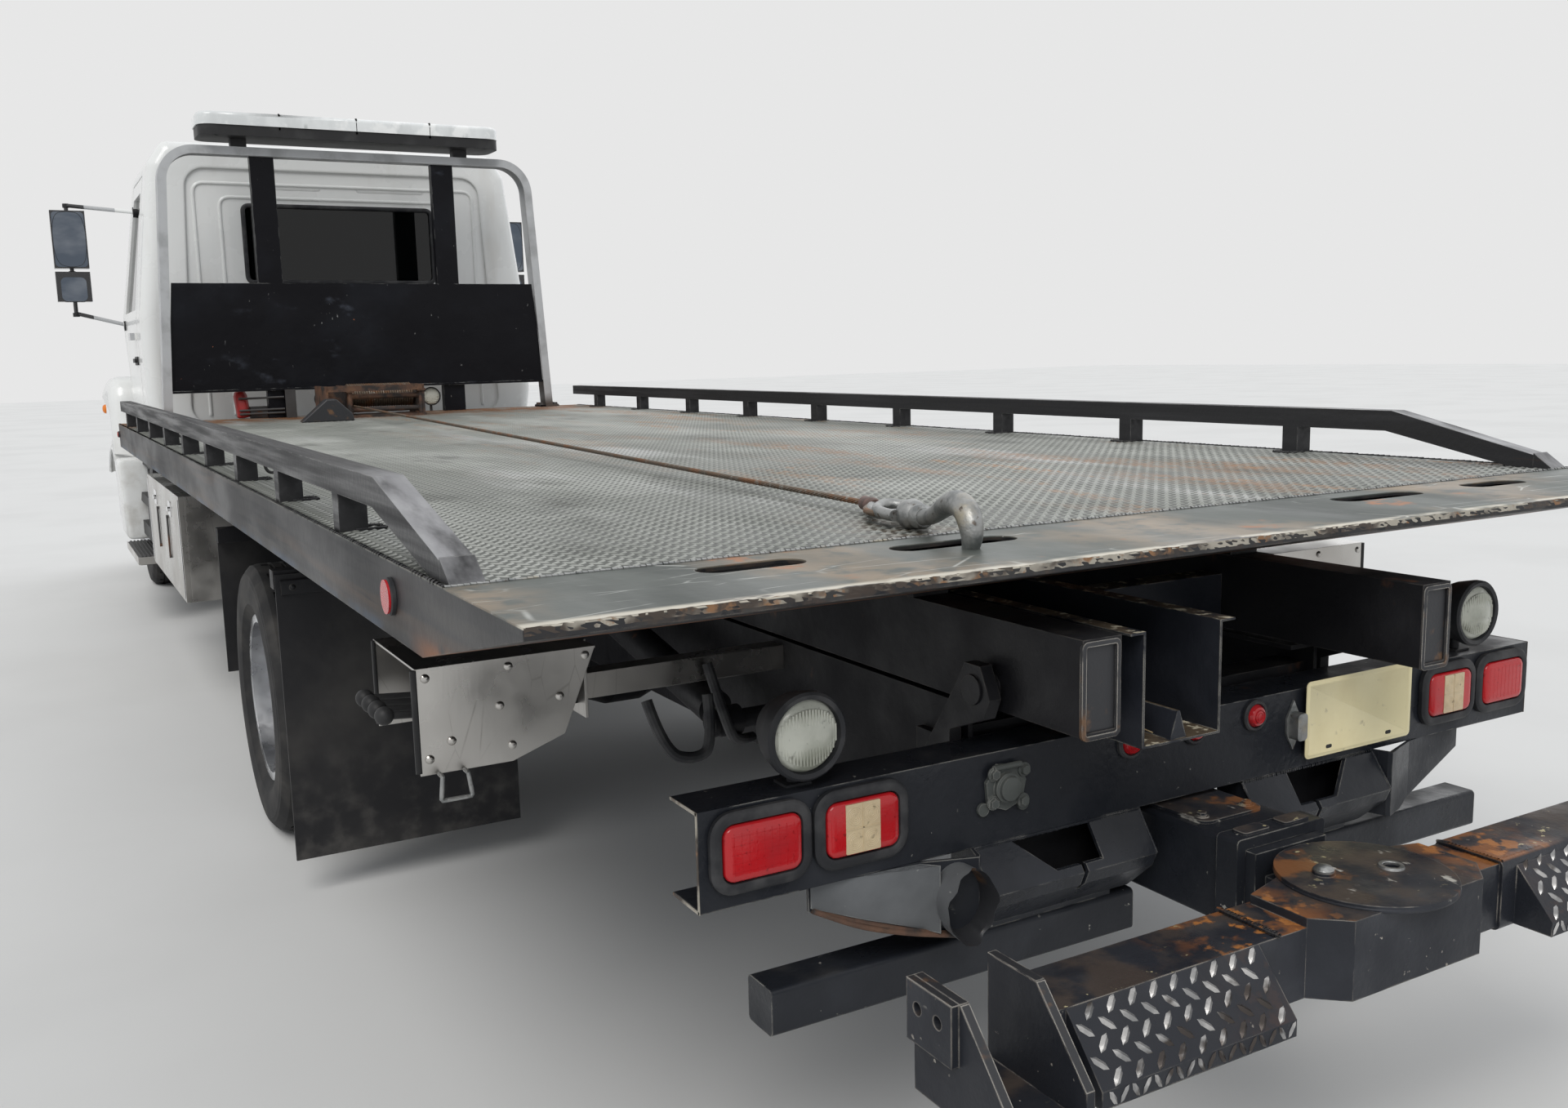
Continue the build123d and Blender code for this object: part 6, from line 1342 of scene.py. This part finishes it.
# Wide fender shells beside the hood, with rolled arch lips and amber markers
ARCH_RADIUS, SHELL_X, SHELL_DEPTH = 0.502, 0.90, 0.345
for name, side in SIDES:
    bm = bmesh.new()
    arch_line = [(AXLE_FRONT_Y + ARCH_RADIUS * math.cos(a), WHEEL_Z + ARCH_RADIUS * math.sin(a))
                 for a in [math.radians(40 + 7.7 * i) for i in range(14)]]
    outline = [(9.19, 0.742), (9.225, 0.82), (9.215, 1.00), (9.15, 1.12), (9.00, 1.235), (8.70, 1.330),
               (8.30, 1.385), (8.02, 1.385), (7.925, 1.345), (7.890, 1.24), (7.884, 0.90), (7.884, 0.815)]
    plate(bm, on_plane(0, side * SHELL_X, *outline, *arch_line[::-1]), (side * SHELL_DEPTH, 0, 0))
    outer = [e for e in bm.edges if all(abs(v.co.x) > 1.2 for v in e.verts)
             and all(v.co.z > 0.83 or v.co.y > 9.0 for v in e.verts)
             and not all(abs(math.hypot(v.co.y - AXLE_FRONT_Y, v.co.z - WHEEL_Z) - ARCH_RADIUS) < 1e-3
                     for v in e.verts)]
    round_edges(bm, outer, 0.085, 6)
    for v in bm.verts:
        past = max(v.co.y - 8.70, 0) / 0.525
        narrow = 1 - 0.175 * past ** 2 / SHELL_DEPTH
        v.co.x = side * (SHELL_X + (abs(v.co.x) - SHELL_X) * narrow)
    piece(f"fender_shell_{name}", bm, "hood", cab_white, sharp=50)
    lip = [(side * (1.236 if y < 8.62 else 1.232), y, z) for y, z in arch_line]
    put(bent_mesh([lip], 0.009, resolution=3), f"arch_lip_{name}", "hood", cab_white)
    bm = bmesh.new()
    turned(bm, [(0, 0.030), (0.010, 0.029), (0.019, 0.020), (0.022, 0.008), (0.022, 0)],
           (side * 1.2445, 8.36, 1.175), (side, 0, 0))
    piece(f"fender_marker_{name}", bm, "hood", amber_lens)

# Skirts and steps under the doors: a white panel ahead of a ribbed step with a bright edge
for name, side in SIDES:
    bm = bmesh.new()
    plate(bm, on_plane(1, 7.42, (side * 1.095, 0.885), (side * 1.262, 0.885), (side * 1.246, 0.405),
                       (side * 1.095, 0.405)), (0, 0.325, 0))
    outer = [e for e in bm.edges if all(abs(v.co.x) > 1.2 for v in e.verts)]
    round_edges(bm, outer, 0.035, 5)
    piece(f"cab_skirt_{name}", bm, "chassis", cab_white, sharp=50)
    back = 6.60 if side < 0 else 6.86
    bm = bmesh.new()
    side_block(bm, side, (1.100, 1.246), (back, 7.43), (0.350, 0.392), 0.008, 1)
    for i in range(7):
        x = side * (1.112 + 0.0195 * i)
        rounded_block(bm, (x - 0.005, back + 0.006, 0.390), (x + 0.005, 7.425, 0.398), 0.002)
    piece(f"step_pad_{name}", bm, "chassis", dark_plastic)
    bm = bmesh.new()
    side_block(bm, side, (1.2462, 1.2502), (back, 7.43), (0.352, 0.394), 0.001, 1)
    side_block(bm, side, (1.100, 1.2502), (back - 0.003, back), (0.352, 0.394), 0.001, 1)
    piece(f"step_edge_{name}", bm, "chassis", stainless)

# Guards' toes, and the dark bead along the deck's edges
bm = bmesh.new()
for side in (-1, 1):
    plate(bm, on_plane(0, side * 1.287, (0.1655, 1.1835), (0.1655, ON_DECK), (0.118, ON_DECK)),
          (side * -0.051, 0, 0))
piece("guard_toes", bm, "deck", guard_black)
bm = bmesh.new()
for side in (-1, 1):
    weld_bead(bm, (side * 1.2935, 0.12, DECK_TOP - 0.0005), (side * 1.2935, 6.37, DECK_TOP - 0.0005), 0.0042,
              0.016)
piece("deck_edge_beads", bm, "deck", frame_black)

# Toolboxes: latches, end straps and rods on the doors
for name, side in SIDES:
    body = f"toolbox_door_{name}"
    bm = bmesh.new()
    for y in (4.85, 5.50):
        side_block(bm, side, (1.2181, 1.2211), (y - 0.055, y + 0.055), (0.79, 0.86), 0.012, 0)
        side_block(bm, side, (1.2181, 1.2301), (y - 0.035, y + 0.035), (0.815, 0.835), 0.009, 0)
    for y in (4.47, 5.88):
        side_block(bm, side, (1.2181, 1.2215), (y - 0.010, y + 0.010), (0.475, 0.895), 0.003, 0)
    piece(f"toolbox_latches_{name}", bm, body, chrome)
    bm = bmesh.new()
    for y in (4.95, 5.40):
        bar(bm, (side * 1.2235, y, 0.600), (side * 1.2235, y, 0.780), 0.0042)
        for z in (0.600, 0.780):
            bar(bm, (side * 1.2180, y, z), (side * 1.2275, y, z), 0.0075)
    piece(f"toolbox_rods_{name}", bm, body, iron)

# Fuel tank's cap, and the clips that hold the leaf springs to their axles
bm = bmesh.new()
turned(bm, [(0, 0.055), (0.020, 0.055), (0.028, 0.048), (0.030, 0.020), (0.030, 0)], (0.98, 6.10, 0.79),
       (0.62, 0, 0.78))
piece("tank_cap", bm, "chassis", chrome)
SPRING_X = 0.392
bm = bmesh.new()
for side in (-1, 1):
    for axle_y, low, high in ((AXLE_REAR_Y, 0.330, 0.556), (AXLE_FRONT_Y, 0.290, 0.480)):
        for dx in (-0.052, 0.052):
            for dy in (-0.075, 0.075):
                x = side * SPRING_X + dx
                bar(bm, (x, axle_y + dy, low), (x, axle_y + dy, high), 0.008)
                bar(bm, (x, axle_y + dy, low + 0.004), (x, axle_y + dy, low + 0.018), 0.015, sides=6)
            bar(bm, (side * SPRING_X - 0.052, axle_y + math.copysign(0.075, dx), high),
                (side * SPRING_X + 0.052, axle_y + math.copysign(0.075, dx), high), 0.008)
piece("spring_clips", bm, "chassis", iron)


# Camera, fitted to the photograph's view

EYE = Vector((-1.7806, BAR_Y - 1.6877, 1.4568))
YAW, PITCH_DOWN, ROLL = math.radians(29.366), math.radians(-8.5664), math.radians(-1.3448)
ahead = Vector((math.cos(PITCH_DOWN) * math.sin(YAW), math.cos(PITCH_DOWN) * math.cos(YAW),
                math.sin(PITCH_DOWN)))
level = Vector((math.cos(YAW), -math.sin(YAW), 0))
over = level.cross(ahead)
right = math.cos(ROLL) * level + math.sin(ROLL) * over
up = -math.sin(ROLL) * level + math.cos(ROLL) * over
lens_data = bpy.data.cameras.new("camera")
lens_data.sensor_width = 36
lens_data.lens = 31.104
lens_data.clip_start = 0.05
lens_data.clip_end = 200
camera = bpy.data.objects.new("camera", lens_data)
camera.matrix_world = Matrix((*zip(right, up, -ahead, EYE), (0, 0, 0, 1)))
scene.collection.objects.link(camera)
scene.camera = camera

# Floor, world and lamps

bm = bmesh.new()
bmesh.ops.create_grid(bm, x_segments=1, y_segments=1, size=60)
floor = bpy.data.objects.new("floor", mesh_of(bm, "floor", clean=False))
scene.collection.objects.link(floor)
pale = Finish("pale_floor", (0.72, 0.72, 0.71), 0.9).mottle((0.68, 0.68, 0.67), 0.6, 0.4, 0.7)
floor.data.materials.append(pale.mat)

world = bpy.data.worlds.new("studio")
scene.world = world
world.use_nodes = True
sky = world.node_tree
backdrop = sky.nodes["Background"]
backdrop.inputs["Color"].default_value = (0.93, 0.96, 1.0, 1)
backdrop.inputs["Strength"].default_value = 0.6
path = shader_node(sky, "LightPath").outputs
seen = shader_node(sky, "Math", {0: path["Is Camera Ray"], 1: path["Is Transmission Ray"]},
                   operation="MAXIMUM")
seen = shader_node(sky, "Math", {0: seen.outputs["Value"], 1: path["Is Glossy Ray"]}, operation="MAXIMUM")
white = shader_node(sky, "Background", {"Strength": 1.0})
mixer = shader_node(sky, "MixShader", {"Fac": seen.outputs["Value"], 1: backdrop.outputs["Background"],
                                       2: white.outputs["Background"]})
sky.links.new(mixer.outputs["Shader"], sky.nodes["World Output"].inputs["Surface"])


def lamp(name, place, target, energy, angle, colour=(1, 1, 1)):
    data = bpy.data.lights.new(name, "SUN")
    data.energy = energy
    data.color = colour
    data.angle = angle
    obj = bpy.data.objects.new(name, data)
    obj.location = place
    obj.rotation_euler = (Vector(target) - Vector(place)).to_track_quat("-Z", "Y").to_euler()
    scene.collection.objects.link(obj)


lamp("key", (-7, -9, 13), (0, 0, 0), 1.5, 0.6, (1, 0.98, 0.95))
lamp("fill", (9, 6, 9), (0, 0, 0), 0.5, 1.2, (0.95, 0.97, 1))

scene.view_settings.view_transform = "Standard"
